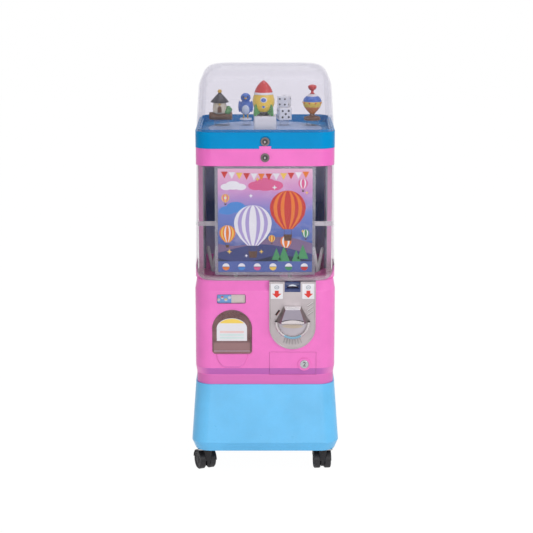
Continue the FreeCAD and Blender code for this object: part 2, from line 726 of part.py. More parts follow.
def capsule_chute():
    """Sloping channel from under the drop hole to the capsule opening, on two legs."""
    half = DOOR_WIDTH / 2 + DOOR_OVERLAP + CHUTE_SIDE_GAP
    x0 = DOOR_X - half
    x1 = DOOR_X + half
    near = PANEL_BACK + DOOR_GAP + DOOR_THICK + 2 * DOOR_GAP
    far = near + CHUTE_LENGTH
    rise = CHUTE_LENGTH * math.tan(math.radians(CHUTE_SLOPE))
    low = DOOR_Z - CHUTE_DROP - CHUTE_WALL
    profile = [(near, low, 0), (far, low + rise, 0), (far, low + rise + CHUTE_SIDE_HEIGHT, 0)]
    profile += [(near, low + CHUTE_SIDE_HEIGHT, 0)]
    block = slab(profile, on_side(x0 - CHUTE_WALL), vec(x1 - x0 + 2 * CHUTE_WALL, 0, 0))
    lift = CHUTE_WALL
    hollow = [(near, low + lift, 0), (far - CHUTE_WALL, low + rise + lift, 0)]
    hollow += [(far - CHUTE_WALL, low + rise + 2 * CHUTE_SIDE_HEIGHT, 0)]
    hollow += [(near, low + 2 * CHUTE_SIDE_HEIGHT, 0)]
    channel = block.cut(slab(hollow, on_side(x0), vec(x1 - x0, 0, 0)))
    under = [(near, low, 0), (far, low + rise, 0), (far, BODY_FLOOR_Z, 0), (near, BODY_FLOOR_Z, 0)]
    legs = []
    inset = CHUTE_LENGTH / 4
    span = box(x0 - BODY_WIDTH, x1 + BODY_WIDTH, near + inset, far - inset / 2, BODY_FLOOR_Z, WINDOW_Z)
    for x in (x0 - CHUTE_WALL, x1):
        legs.append(slab(under, on_side(x), vec(CHUTE_WALL, 0, 0)).common(span))
    return fuse([channel] + legs)


def pocket_angle(index):
    """Direction of a wheel pocket at rest; the first one stands over the chute, in line with the door."""
    return 2 * math.pi * index / POCKET_COUNT - math.radians(DROP_ANGLE)


def pocket_place(index):
    angle = pocket_angle(index)
    return POCKET_PITCH_RADIUS * math.cos(angle), WHEEL_Y + POCKET_PITCH_RADIUS * math.sin(angle)


def wheel_floor():
    top = WHEEL_Z - WHEEL_GAP
    floor = rod_z(WHEEL_FLOOR_RADIUS, top - WHEEL_FLOOR_THICK, top, 0, WHEEL_Y)
    drop_x, drop_y = pocket_place(0)
    floor = floor.cut(rod_z(DROP_RADIUS, top - 2 * WHEEL_FLOOR_THICK, top + WALL, drop_x, drop_y))
    floor = floor.cut(rod_z(SPINDLE_RADIUS, top - 2 * WHEEL_FLOOR_THICK, top + WALL, 0, WHEEL_Y))
    posts = []
    for angle in POST_ANGLES:
        x = POST_PITCH_RADIUS * math.cos(math.radians(angle))
        y = WHEEL_Y + POST_PITCH_RADIUS * math.sin(math.radians(angle))
        posts.append(rod_z(POST_RADIUS, BODY_FLOOR_Z, top - WHEEL_FLOOR_THICK, x, y))
    return fuse([floor] + posts)


def wheel_spindle():
    low = WHEEL_Z - WHEEL_GAP - WHEEL_FLOOR_THICK
    top = WHEEL_Z + WHEEL_HEIGHT + WHEEL_GAP
    stem = rod_z(SPINDLE_RADIUS, low, top, 0, WHEEL_Y)
    foot = rod_z(SPINDLE_RADIUS + PRESS_FLANGE, low - PRESS_FLANGE, low, 0, WHEEL_Y)
    cap = rod_z(SPINDLE_RADIUS + PRESS_FLANGE, top, top + PRESS_FLANGE, 0, WHEEL_Y)
    return fuse([stem, foot, cap])


# Coin drive
def spur_profile(teeth, radius, module, backlash, turn):
    """Outline of straight-flanked teeth about the origin, as (u, v) points."""
    lean = math.tan(math.radians(GEAR_ANGLE))
    half = math.pi * module / 4 - backlash / 2
    tip = radius + ADDENDUM * module
    root = radius - DEDENDUM * module
    tip_half = half - ADDENDUM * module * lean
    root_half = half + DEDENDUM * module * lean
    points = []
    for i in range(teeth):
        middle = turn + 2 * math.pi * i / teeth
        for r, side in ((root, -root_half), (tip, -tip_half), (tip, tip_half), (root, root_half)):
            angle = middle + side / r
            points.append((r * math.cos(angle), r * math.sin(angle)))
    return points


def spur_gear(teeth, radius, module, backlash, turn, x, z, y0, face):
    points = spur_profile(teeth, radius, module, backlash, turn)
    corners = [vec(x + u, y0, z + v) for u, v in points]
    outline = Part.makePolygon(corners + corners[:1])
    gear = Part.Face(outline).extrude(vec(0, face, 0))
    return gear.cut(rod_y(SHAFT_RADIUS, y0, y0 + face, x, z))


def lighten(gear, radius, x, z, y0, face):
    """Ring of round holes through a gear's web."""
    ring = radius * WEB_HOLE_RING
    for i in range(WEB_HOLES):
        angle = 2 * math.pi * i / WEB_HOLES
        hole_x = x + ring * math.cos(angle)
        hole_z = z + ring * math.sin(angle)
        gear = gear.cut(rod_y(radius * WEB_HOLE_SHARE, y0, y0 + face, hole_x, hole_z))
    return gear


def mesh_angle():
    """Direction from the drive gear to the lay gear, in the plane of the gears."""
    return math.atan2(LAY_Z - KNOB_Z, LAY_X - KNOB_X)


def drive_gear():
    gear = spur_gear(DRIVE_TEETH, DRIVE_RADIUS, SPUR_MODULE, SPUR_BACKLASH, mesh_angle(),
                     KNOB_X, KNOB_Z, GEAR_Y, GEAR_FACE)
    return lighten(gear, DRIVE_RADIUS, KNOB_X, KNOB_Z, GEAR_Y, GEAR_FACE)


def lay_gear():
    turn = mesh_angle() + math.pi + math.pi / LAY_TEETH
    return spur_gear(LAY_TEETH, LAY_RADIUS, SPUR_MODULE, SPUR_BACKLASH, turn,
                     LAY_X, LAY_Z, GEAR_Y, GEAR_FACE)


def crown_pinion():
    turn = math.pi / 2
    return spur_gear(PINION_TEETH, PINION_RADIUS, CROWN_MODULE, CROWN_BACKLASH, turn,
                     LAY_X, LAY_Z, PINION_Y, CROWN_FACE)


def crown_gear():
    """Ring with teeth hanging under it, a gap between two teeth at the front."""
    lean = math.tan(math.radians(GEAR_ANGLE))
    ring = rod_z(CROWN_OUTER, WHEEL_Z - CROWN_RING, WHEEL_Z, 0, WHEEL_Y)
    ring = ring.cut(rod_z(CROWN_INNER, WHEEL_Z - CROWN_RING, WHEEL_Z, 0, WHEEL_Y))
    half = math.pi * CROWN_MODULE / 4 - CROWN_BACKLASH / 2
    root = CROWN_PITCH_Z + CROWN_MODULE + CROWN_RING / 2
    tip = CROWN_PITCH_Z - ADDENDUM * CROWN_MODULE
    levels = ((root, half + (root - CROWN_PITCH_Z) * lean), (tip, half - ADDENDUM * CROWN_MODULE * lean))
    ends = []
    for r in (CROWN_INNER + WHEEL_GAP, CROWN_OUTER - WHEEL_GAP):
        share = r / CROWN_PITCH_RADIUS
        (z0, w0), (z1, w1) = levels
        ring_points = [(-w0 * share, z0), (w0 * share, z0), (w1 * share, z1), (-w1 * share, z1)]
        corners = [vec(u, -r, v) for u, v in ring_points]
        ends.append(Part.makePolygon(corners + corners[:1]))
    tooth = Part.makeLoft(ends, True, True)
    tooth.translate(vec(0, WHEEL_Y, 0))
    teeth = []
    for i in range(CROWN_TEETH):
        copy = tooth.copy()
        copy.rotate(vec(0, WHEEL_Y, 0), vec(0, 0, 1), 360.0 * (i + 0.5) / CROWN_TEETH)
        teeth.append(copy)
    return fuse([ring] + teeth)


def capsule_wheel():
    top = WHEEL_Z + WHEEL_HEIGHT
    deck = rod_z(WHEEL_RADIUS, top - WHEEL_WALL, top, 0, WHEEL_Y)
    rim = rod_z(WHEEL_RADIUS, WHEEL_Z, top, 0, WHEEL_Y)
    rim = rim.cut(rod_z(WHEEL_RADIUS - WHEEL_WALL, WHEEL_Z, top, 0, WHEEL_Y))
    cone_foot = vec(0, WHEEL_Y, top - HUB_RADIUS - WHEEL_WALL)
    cone = Part.makeCone(HUB_FOOT_RADIUS, HUB_RADIUS, HUB_RADIUS, cone_foot)
    hub = rod_z(HUB_RADIUS, WHEEL_Z, top, 0, WHEEL_Y)
    tubes = []
    holes = []
    for i in range(POCKET_COUNT):
        x, y = pocket_place(i)
        tubes.append(rod_z(POCKET_RADIUS + POCKET_WALL, WHEEL_Z, top, x, y))
        holes.append(rod_z(POCKET_RADIUS, WHEEL_Z - WALL, top + WALL, x, y))
    wheel = fuse([deck, rim, hub, cone] + tubes)
    holes.append(rod_z(SPINDLE_RADIUS + TURN_FIT, WHEEL_Z - WALL, top + WALL, 0, WHEEL_Y))
    for hole in holes:
        wheel = wheel.cut(hole)
    return wheel


def agitator_fingers():
    """Pairs of white prongs in a V between the pockets, one pair on each side of the hopper."""
    pairs = []
    low = WHEEL_Z + WHEEL_HEIGHT
    for i in range(POCKET_COUNT):
        root = vec(FINGER_ROOT_RADIUS, 0, low)
        foot = rod(FINGER_FOOT_RADIUS, root, vec(0, 0, 1), FINGER_FOOT_HEIGHT)
        prongs = [foot]
        for lean in (-FINGER_INNER_LEAN, FINGER_OUTER_LEAN):
            direction = vec(lean, 0, FINGER_HEIGHT)
            length = direction.Length
            direction.normalize()
            base = root + direction * FINGER_RADIUS
            prong = rod(FINGER_RADIUS, base, direction, length - 2 * FINGER_RADIUS)
            tip = Part.makeCone(FINGER_RADIUS, FINGER_RADIUS / 2, FINGER_RADIUS / 2,
                                base + direction * (length - 2 * FINGER_RADIUS), direction)
            below = box(0, 2 * WHEEL_RADIUS, -FINGER_HEIGHT, FINGER_HEIGHT, low - FINGER_HEIGHT, low)
            prongs += [prong.cut(below), tip]
        pair = fuse(prongs)
        pair.rotate(vec(0, 0, 0), vec(0, 0, 1), math.degrees(pocket_angle(i + 0.5)))
        pair.translate(vec(0, WHEEL_Y, 0))
        pairs.append(pair)
    return Part.makeCompound(pairs)


def ring_of_revolution(profile, x, z):
    """Ring turned about a front-to-back axis, from (radius, y) corners."""
    corners = [vec(x + radius, y, z) for radius, y in profile]
    return Part.Face(Part.makePolygon(corners + corners[:1])).revolve(vec(x, 0, z), vec(0, 1, 0), 360)


def knob():
    """Turning knob: beaded flange with a dish, and a half-hexagon grip with a finger groove across it."""
    near = FRONT_Y - PLATE_THICK - KNOB_GAP
    face = near - KNOB_FLANGE
    tip = FRONT_Y - KNOB_REACH
    floor = face + KNOB_DISH_DEPTH
    bead = KNOB_BEAD
    section = [(0, near), (KNOB_RADIUS, near), (KNOB_RADIUS, face), (KNOB_RADIUS - bead, face - bead)]
    section += [(KNOB_DISH_RADIUS + bead, face - bead), (KNOB_DISH_RADIUS, face)]
    section += [(KNOB_DISH_RADIUS, floor), (0, floor)]
    flange = ring_of_revolution(section, KNOB_X, KNOB_Z)
    low_half = KNOB_RADIUS - bead
    top_z = math.sqrt(low_half ** 2 - GRIP_TOP_HALF ** 2)
    root = [(-low_half, 0), (low_half, 0), (GRIP_TOP_HALF, top_z), (-GRIP_TOP_HALF, top_z)]
    ends = []
    for y, share in ((floor, 1.0), (tip, GRIP_FACE_SHRINK)):
        corners = [(KNOB_X + u * share, KNOB_Z + v * share, GRIP_ROUND) for u, v in root]
        ends.append(rounded_wire(corners, on_front(y)))
    grip = Part.makeLoft(ends, True, True)
    half = low_half * GRIP_FACE_SHRINK - GRIP_GROOVE_MARGIN
    groove = [(KNOB_X - half, KNOB_Z + GRIP_GROOVE_LIFT, 0), (KNOB_X + half, KNOB_Z + GRIP_GROOVE_LIFT, 0)]
    groove += [(KNOB_X, KNOB_Z + GRIP_GROOVE_LIFT + GRIP_GROOVE_RISE, 0)]
    grip = grip.cut(slab(groove, on_front(tip - WALL), vec(0, WALL + GRIP_GROOVE_DEPTH, 0)))
    whole = fuse([flange, grip])
    return whole.cut(rod_y(SHAFT_RADIUS, near - KNOB_FLANGE / 2, near, KNOB_X, KNOB_Z))


def knob_shaft():
    near = FRONT_Y - PLATE_THICK - KNOB_GAP
    return rod_y(SHAFT_RADIUS, near - KNOB_FLANGE / 2, BRACKET_Y + BRACKET_THICK + WALL, KNOB_X, KNOB_Z)


def coin_disc():
    y0 = FRONT_Y + COIN_DISC_SET_BACK
    disc = rod_y(COIN_DISC_RADIUS, y0, y0 + COIN_DISC_THICK, KNOB_X, KNOB_Z)
    notch = rod_y(COIN_NOTCH_RADIUS, y0, y0 + COIN_DISC_THICK, KNOB_X, KNOB_Z + COIN_DISC_RADIUS)
    return disc.cut(notch).cut(rod_y(SHAFT_RADIUS, y0, y0 + COIN_DISC_THICK, KNOB_X, KNOB_Z))


def lay_shaft():
    y0 = GEAR_Y - BRACKET_THICK
    return rod_y(SHAFT_RADIUS, y0, PINION_Y + CROWN_FACE + WALL / 2, LAY_X, LAY_Z)


def bush_places():
    return ((KNOB_X, KNOB_Z, BRACKET_Y), (LAY_X, LAY_Z, BRACKET_Y))


def mech_bracket():
    """Bent bracket behind the coin plate that carries both shafts."""
    x0 = LAY_X - SHAFT_RADIUS - 2 * BRACKET_MARGIN
    x1 = KNOB_X + DRIVE_RADIUS + SPUR_MODULE + BRACKET_MARGIN
    high = max(KNOB_Z + DRIVE_RADIUS, LAY_Z + LAY_RADIUS) + SPUR_MODULE + WALL
    low = KNOB_Z - DRIVE_RADIUS - SPUR_MODULE
    t = BRACKET_THICK
    rear = box(x0, x1, BRACKET_Y, BRACKET_Y + t, low, high + t)
    roof = box(x0, x1, PANEL_BACK, BRACKET_Y + t, high, high + t)
    side = box(x1 - t, x1, PANEL_BACK, BRACKET_Y + t, low, high + t)
    foot = box(x0, x1, PANEL_BACK, PANEL_BACK + t, high - BRACKET_MARGIN, high + t)
    ear = box(x1 - 2 * BRACKET_MARGIN, x1, PANEL_BACK, PANEL_BACK + t, low, high + t)
    bracket = fuse([rear, roof, side, foot, ear])
    for x, z, y in bush_places():
        bracket = bracket.cut(rod_y(SHAFT_RADIUS + BUSH_WALL, y - WALL, y + 2 * t, x, z))
    return bracket


def shaft_bushes():
    """Flanged bushes in the bracket, and one in the coin plate for the knob's shaft."""
    bushes = []
    for x, z, y in bush_places():
        body = rod_y(SHAFT_RADIUS + BUSH_WALL, y, y + BRACKET_THICK, x, z)
        rear = y + BRACKET_THICK
        flange = rod_y(SHAFT_RADIUS + 2 * BUSH_WALL, rear, rear + BUSH_WALL / 2, x, z)
        bore = rod_y(SHAFT_RADIUS + TURN_FIT, y - WALL, y + 3 * BRACKET_THICK, x, z)
        bushes.append(body.fuse(flange).cut(bore).removeSplitter())
    near = FRONT_Y - PLATE_THICK
    body = rod_y(SHAFT_RADIUS + BUSH_WALL, near, PANEL_BACK + BUSH_LENGTH / 2, KNOB_X, KNOB_Z)
    bore = rod_y(SHAFT_RADIUS + TURN_FIT, near - WALL, PANEL_BACK + BUSH_LENGTH, KNOB_X, KNOB_Z)
    bushes.append(body.cut(bore))
    return Part.makeCompound(bushes)


def plate_outline(margin, y):
    arc_z = KNOB_Z - PLATE_ARC_DROP
    half = PLATE_HALF - margin
    top = WINDOW_Z + PLATE_TOP_MARGIN - margin
    place = on_front(y)
    left = KNOB_X - half
    right = KNOB_X + half
    edges = [Part.LineSegment(place(left, top), place(left, arc_z)).toShape()]
    edges.append(Part.Arc(place(left, arc_z), place(KNOB_X, arc_z - half), place(right, arc_z)).toShape())
    edges.append(Part.LineSegment(place(right, arc_z), place(right, top)).toShape())
    edges.append(Part.LineSegment(place(right, top), place(left, top)).toShape())
    return Part.Wire(edges)


def plate_ribs():
    """Fan of short ribs under the knob and slanted ribs beside it."""
    ribs = []
    y0 = FRONT_Y - PLATE_THICK + PLATE_EDGE_DEPTH - RIB_PROUD
    y1 = FRONT_Y - PLATE_THICK / 2
    far = KNOB_RADIUS + PLATE_EDGE_WIDTH
    for i in range(RIB_COUNT):
        rib = box(-RIB_WIDTH / 2, RIB_WIDTH / 2, y0, y1, -far - RIB_LENGTH, -far)
        rib.rotate(vec(0, 0, 0), vec(0, 1, 0), (i - (RIB_COUNT - 1) / 2) * RIB_PITCH_ANGLE)
        rib.translate(vec(KNOB_X, 0, KNOB_Z))
        ribs.append(rib)
    for i in range(SIDE_RIB_COUNT):
        rib = box(0, SIDE_RIB_LENGTH, y0, y1, -RIB_WIDTH / 2, RIB_WIDTH / 2)
        rib.rotate(vec(0, 0, 0), vec(0, 1, 0), -SIDE_RIB_ANGLE)
        rib.translate(vec(KNOB_X + SIDE_RIB_X, 0, KNOB_Z + SIDE_RIB_LIFT + i * SIDE_RIB_PITCH))
        ribs.append(rib)
    return ribs


def coin_plate(body):
    """Die-cast plate with a raised edge, seated on the panel and its shoulder."""
    y0 = FRONT_Y - PLATE_THICK
    depth = vec(0, WINDOW_FRONT - SHOULDER_MARGIN - y0, 0)
    plate = Part.Face(plate_outline(0.0, y0)).extrude(depth).cut(body)
    sunk = Part.Face(plate_outline(PLATE_EDGE_WIDTH, y0 - WALL)).extrude(vec(0, WALL + PLATE_EDGE_DEPTH, 0))
    plate = plate.cut(sunk)
    plate = fuse([plate] + plate_ribs())
    plate = plate.cut(rod_y(SHAFT_RADIUS + BUSH_WALL, y0 - WALL, PANEL_BACK + WALL, KNOB_X, KNOB_Z))
    plate = plate.cut(slot_zone(0.0, y0 - WALL, WINDOW_FRONT + RIM_WIDTH))
    slot = box(-RETURN_SLOT_LENGTH / 2, RETURN_SLOT_LENGTH / 2, y0 - WALL, FRONT_Y - PLATE_EDGE_DEPTH / 2,
               -RETURN_SLOT_WIDTH / 2, RETURN_SLOT_WIDTH / 2)
    slot.rotate(vec(0, 0, 0), vec(0, 1, 0), -RETURN_SLOT_ANGLE)
    slot.translate(vec(KNOB_X + RETURN_SLOT_X, 0, KNOB_Z + RETURN_SLOT_LIFT))
    return plate.cut(slot)


def coin_slot_insert():
    """Coin seat in the top of the plate, a scooped block with a slit."""
    y0 = FRONT_Y - PLATE_THICK + PLATE_EDGE_DEPTH
    high = WINDOW_Z + PLATE_TOP_MARGIN - PLATE_EDGE_WIDTH
    y1 = WINDOW_FRONT - SHOULDER_MARGIN
    low = WINDOW_Z + PLATE_TOP_MARGIN - SLOT_HEIGHT
    half = SLOT_WIDTH / 2
    block = box(KNOB_X - half, KNOB_X + half, y0, y1, low, high)
    scoop = rod_x(SLOT_DEPTH, KNOB_X - half + WALL, KNOB_X + half - WALL, y0, high - WALL)
    slit_z = low + COIN_SLIT_LIFT
    slit = box(KNOB_X - COIN_SLIT_WIDTH / 2, KNOB_X + COIN_SLIT_WIDTH / 2, y0 - WALL, y1 + WALL,
               slit_z, slit_z + COIN_SLIT_HEIGHT)
    return block.cut(scoop).cut(slit)


def coin_chute():
    """Short tube that drops the coins from the disc into the box."""
    half = COIN_CHUTE_WIDTH / 2
    y0 = PANEL_BACK + BRACKET_THICK
    low = BEVEL_Z + COIN_DOOR_HEIGHT + BUSH_WALL
    high = KNOB_Z - COIN_DISC_RADIUS - COIN_CHUTE_WALL
    y1 = y0 + COIN_CHUTE_DEPTH
    tube = box(KNOB_X - half, KNOB_X + half, y0, y1, low, high)
    w = COIN_CHUTE_WALL
    tube = tube.cut(box(KNOB_X - half + w, KNOB_X + half - w, y0 + w, y1 - w, low - WALL, high + WALL))
    reach = half + BRACKET_MARGIN
    ears = box(KNOB_X - reach, KNOB_X + reach, PANEL_BACK, y0, low, high - half / 2)
    return fuse([tube, ears])


# Capsule door
def capsule_door():
    near = PANEL_BACK + DOOR_GAP
    plate = door_block(DOOR_OVERLAP, near, near + DOOR_THICK)
    tray = door_block(-DOOR_FRAME_WIDTH, near - WALL, near + DOOR_FRAME_DEPTH)
    plate = plate.cut(tray)
    pin_y, pin_z = door_pin_place()
    knuckles = []
    for side in (-1, 1):
        x = DOOR_X + side * DOOR_KNUCKLE_OFFSET
        x0 = x - DOOR_KNUCKLE_WIDTH / 2
        x1 = x + DOOR_KNUCKLE_WIDTH / 2
        knuckle = rod_x(DOOR_KNUCKLE_RADIUS, x0, x1, pin_y, pin_z)
        drop = box(x0, x1, near, pin_y, pin_z - 4 * DOOR_KNUCKLE_RADIUS, pin_z)
        lift = drop.cut(box(x0, x1, near + DOOR_THICK, pin_y, BAND_Z, pin_z - DOOR_KNUCKLE_RADIUS))
        lift = lift.cut(box(x0, x1, near - WALL, near + DOOR_GAP, pin_z - DOOR_KNUCKLE_RADIUS, WINDOW_Z))
        knuckles += [knuckle, lift]
    door = fuse([plate] + knuckles)
    bore = rod_x(DOOR_PIN_RADIUS + TURN_FIT, DOOR_X - DOOR_WIDTH, DOOR_X + DOOR_WIDTH, pin_y, pin_z)
    return door.cut(bore)


def door_pin():
    pin_y, pin_z = door_pin_place()
    reach = DOOR_KNUCKLE_OFFSET + DOOR_KNUCKLE_WIDTH / 2 + DOOR_LUG_GAP + DOOR_LUG_WIDTH
    return rod_x(DOOR_PIN_RADIUS, DOOR_X - reach, DOOR_X + reach, pin_y, pin_z)


# Coin door, box and guide
def box_floor():
    return BEVEL_Z + BEVEL_HEIGHT + COIN_BOX_LIFT


def coin_door(walls):
    flap = walls.common(coin_door_zone(0.0))
    lock_z = PANEL_Z + COIN_LOCK_LIFT
    ahead = FRONT_Y - 2 * COIN_BOSS_PROUD
    boss = rod_y(COIN_BOSS_RADIUS, FRONT_Y - COIN_BOSS_PROUD, PANEL_BACK, COIN_LOCK_X, lock_z)
    bore = rod_y(LOCK_PLUG_RADIUS + TURN_FIT, ahead, PANEL_BACK + WALL, COIN_LOCK_X, lock_z)
    seat = rod_y(LOCK_BARREL_RADIUS, ahead, FRONT_Y, COIN_LOCK_X, lock_z)
    half = COIN_DOOR_WIDTH / 2 - COIN_BOX_SIDE_GAP
    back = FRONT_Y + COIN_BOX_SET_BACK
    arms = []
    for side in (-1, 1):
        near = COIN_DOOR_X + side * half
        far = near - side * COIN_ARM_WIDTH
        arms.append(box(min(near, far), max(near, far), PANEL_BACK - WALL / 2, back,
                        box_floor(), box_floor() + COIN_BOX_HEIGHT - WALL))
    boss = boss.cut(box(-BODY_WIDTH, BODY_WIDTH, FRONT_Y, BACK_Y, BAND_Z, PANEL_Z))
    return fuse([flap, boss] + arms).cut(bore).cut(seat)


def coin_box():
    half = COIN_DOOR_WIDTH / 2 - COIN_BOX_SIDE_GAP
    y0 = FRONT_Y + COIN_BOX_SET_BACK
    w = COIN_BOX_WALL
    low = box_floor()
    outer = box(COIN_DOOR_X - half, COIN_DOOR_X + half, y0, y0 + COIN_BOX_DEPTH, low, low + COIN_BOX_HEIGHT)
    hollow = box(COIN_DOOR_X - half + w, COIN_DOOR_X + half - w, y0 + w, y0 + COIN_BOX_DEPTH - w,
                 low + w, low + 2 * COIN_BOX_HEIGHT)
    return outer.cut(hollow)


def drawer_guide():
    half = COIN_DOOR_WIDTH / 2 - COIN_BOX_SIDE_GAP + GUIDE_GAP
    y0 = FRONT_Y + COIN_BOX_SET_BACK
    y1 = y0 + COIN_BOX_DEPTH
    top = box_floor() - GUIDE_GAP
    x0 = COIN_DOOR_X - half
    x1 = COIN_DOOR_X + half
    g = GUIDE_WALL
    deck = box(x0 - g, x1 + g, y0, y1, top - g, top)
    sides = []
    for x in (x0 - g, x1):
        sides.append(box(x, x + g, y0, y1, BODY_FLOOR_Z, box_floor() + COIN_BOX_HEIGHT / 2))
    return fuse([deck] + sides)


# Hopper
def window():
    ring = plan_ring(WINDOW_Z, FRAME_Z, WINDOW_WIDTH, WINDOW_FRONT, WINDOW_WALL, WINDOW_CORNER)
    keep = box(-BODY_WIDTH, BODY_WIDTH, FRONT_Y - WALL, WINDOW_BACK, WINDOW_Z, FRAME_Z)
    return ring.common(keep)


def rear_shell():
    ring = plan_ring(WINDOW_Z, FRAME_Z, WINDOW_WIDTH, WINDOW_FRONT, WALL, WINDOW_CORNER)
    keep = box(-BODY_WIDTH, BODY_WIDTH, WINDOW_BACK, BACK_Y + WALL, WINDOW_Z, FRAME_Z)
    shell = ring.common(keep)
    half = WINDOW_WIDTH / 2
    flanges = []
    for side in (-1, 1):
        near = side * half
        far = side * (half - WALL - FLANGE_WIDTH)
        x0 = min(near, far)
        x1 = max(near, far)
        flanges.append(box(x0, x1, WINDOW_BACK, WINDOW_BACK + WALL, WINDOW_Z, FRAME_Z))
    return fuse([shell] + flanges)


def hopper_liner():
    """Dark inner wall behind the flanges of the rear shell."""
    ring = plan_ring(WINDOW_Z, FRAME_Z, WINDOW_WIDTH, WINDOW_FRONT, LINER_WALL, WINDOW_CORNER, WALL)
    keep = box(-BODY_WIDTH, BODY_WIDTH, WINDOW_BACK + WALL, BACK_Y, WINDOW_Z, FRAME_Z)
    return ring.common(keep)


def holder_y():
    return WINDOW_FRONT + WINDOW_WALL + HOLDER_GAP + POSTER_THICK


def poster_holder():
    half = POSTER_WIDTH / 2 + HOLDER_MARGIN
    low = WINDOW_Z + POSTER_LIFT - HOLDER_MARGIN
    y0 = holder_y()
    corners = rectangle(-half, half, low, FRAME_Z, HOLDER_MARGIN / 2)
    return slab(corners, on_front(y0), vec(0, HOLDER_THICK, 0))


def poster():
    half = POSTER_WIDTH / 2
    low = WINDOW_Z + POSTER_LIFT
    y0 = holder_y() - POSTER_THICK
    return box(-half, half, y0, y0 + POSTER_THICK, low, low + POSTER_HEIGHT)


def poster_standoffs():
    """Clear angle bars from the back of the holder to the side walls of the window."""
    low = WINDOW_Z + STANDOFF_LIFT - STANDOFF_HEIGHT / 2
    y0 = holder_y() + HOLDER_THICK
    y1 = y0 + STANDOFF_REACH
    near = POSTER_WIDTH / 2
    far = WINDOW_WIDTH / 2 - WINDOW_WALL
    t = STANDOFF_THICK
    bars = []
    for side in (-1, 1):
        outline = [(side * near, y0, 0), (side * (near + t), y0, 0), (side * (near + t), y1 - t, 0)]
        outline += [(side * far, y1 - t, 0), (side * far, y1, 0), (side * near, y1, 0)]
        bars.append(slab(outline, on_plan(low), vec(0, 0, STANDOFF_HEIGHT)))
    return Part.makeCompound(bars)


def window_screws():
    z = WINDOW_Z + STANDOFF_LIFT
    y = holder_y() + HOLDER_THICK + STANDOFF_REACH - STANDOFF_THICK / 2
    half = WINDOW_WIDTH / 2
    screws = []
    for side in (-1, 1):
        head = rod(SCREW_HEAD_RADIUS, vec(side * half, y, z), vec(side, 0, 0), SCREW_HEAD_THICK)
        rounded = [edge for edge in head.Edges if abs(edge.BoundBox.XLength) < 1e-6]
        tip = half + SCREW_HEAD_THICK
        outer = [edge for edge in rounded if abs(abs(edge.BoundBox.Center.x) - tip) < 1e-4]
        screws.append(head.makeFillet(SCREW_HEAD_THICK / 2, outer))
    return Part.makeCompound(screws)


def top_frame():
    """Band above the window: a ring with an inner ledge and a raised tab at the front."""
    ring = plan_ring(FRAME_Z, TRAY_Z, FRAME_WIDTH, WINDOW_FRONT, FRAME_WALL)
    ledge = plan_ring(FRAME_Z, FRAME_Z + FRAME_WALL, FRAME_WIDTH, WINDOW_FRONT, RIM_WIDTH, inset=FRAME_WALL)
    tab_y = WINDOW_FRONT
    corners = rectangle(-TAB_WIDTH / 2, TAB_WIDTH / 2, TRAY_Z - TAB_HEIGHT, TRAY_Z + TAB_HEIGHT, 0)
    tab = slab(corners, on_front(tab_y), vec(0, TAB_THICK, 0))
    frame = fuse([ring, ledge, tab])
    ahead = WINDOW_FRONT - WALL
    return frame.cut(rod_y(LOCK_BODY_RADIUS, ahead, WINDOW_FRONT + 2 * FRAME_WALL, 0, frame_lock_z()))


def frame_lock_z():
    return (FRAME_Z + TRAY_Z) / 2


def display_lock_z():
    return TRAY_Z + LOCK_RECESS_LIFT + LOCK_BARREL_RADIUS


def lock_barrel(face_y, seat_y, x, z):
    """Flanged lock housing with a bore for its plug."""
    flange = rod_y(LOCK_BARREL_RADIUS, seat_y - LOCK_FLANGE_THICK, seat_y, x, z)
    body = rod_y(LOCK_BODY_RADIUS, seat_y - LOCK_FLANGE_THICK, seat_y + LOCK_LENGTH, x, z)
    bore = rod_y(LOCK_PLUG_RADIUS + TURN_FIT, face_y - WALL, seat_y + 2 * LOCK_LENGTH, x, z)
    return fuse([flange, body]).cut(bore)


def lock_plug(face_y, tail_y, x, z):
    """Key plug with a keyway across its face and a cam on its tail."""
    plug = rod_y(LOCK_PLUG_RADIUS, face_y, tail_y, x, z)
    keyway = box(x - LOCK_KEYWAY_WIDTH / 2, x + LOCK_KEYWAY_WIDTH / 2, face_y - WALL, face_y + WALL / 2,
                 z - LOCK_KEYWAY_LENGTH / 2, z + LOCK_KEYWAY_LENGTH / 2)
    cam = box(x - LOCK_CAM_WIDTH / 2, x + LOCK_CAM_LENGTH, tail_y, tail_y + LOCK_CAM_THICK,
              z - LOCK_CAM_WIDTH / 2, z + LOCK_CAM_WIDTH / 2)
    return fuse([plug.cut(keyway), cam])


def frame_lock_barrel():
    return lock_barrel(WINDOW_FRONT - LOCK_FLANGE_THICK, WINDOW_FRONT, 0, frame_lock_z())


def frame_lock_plug():
    face = WINDOW_FRONT - LOCK_FLANGE_THICK
    return lock_plug(face, WINDOW_FRONT + LOCK_LENGTH + CASTER_GAP, 0, frame_lock_z())


def display_lock_barrel():
    seat = WINDOW_FRONT + LOCK_RECESS_DEPTH
    return lock_barrel(seat - LOCK_FLANGE_THICK, seat, 0, display_lock_z())


def display_lock_plug():
    seat = WINDOW_FRONT + LOCK_RECESS_DEPTH
    return lock_plug(seat - LOCK_FLANGE_THICK, seat + LOCK_LENGTH + CASTER_GAP, 0, display_lock_z())


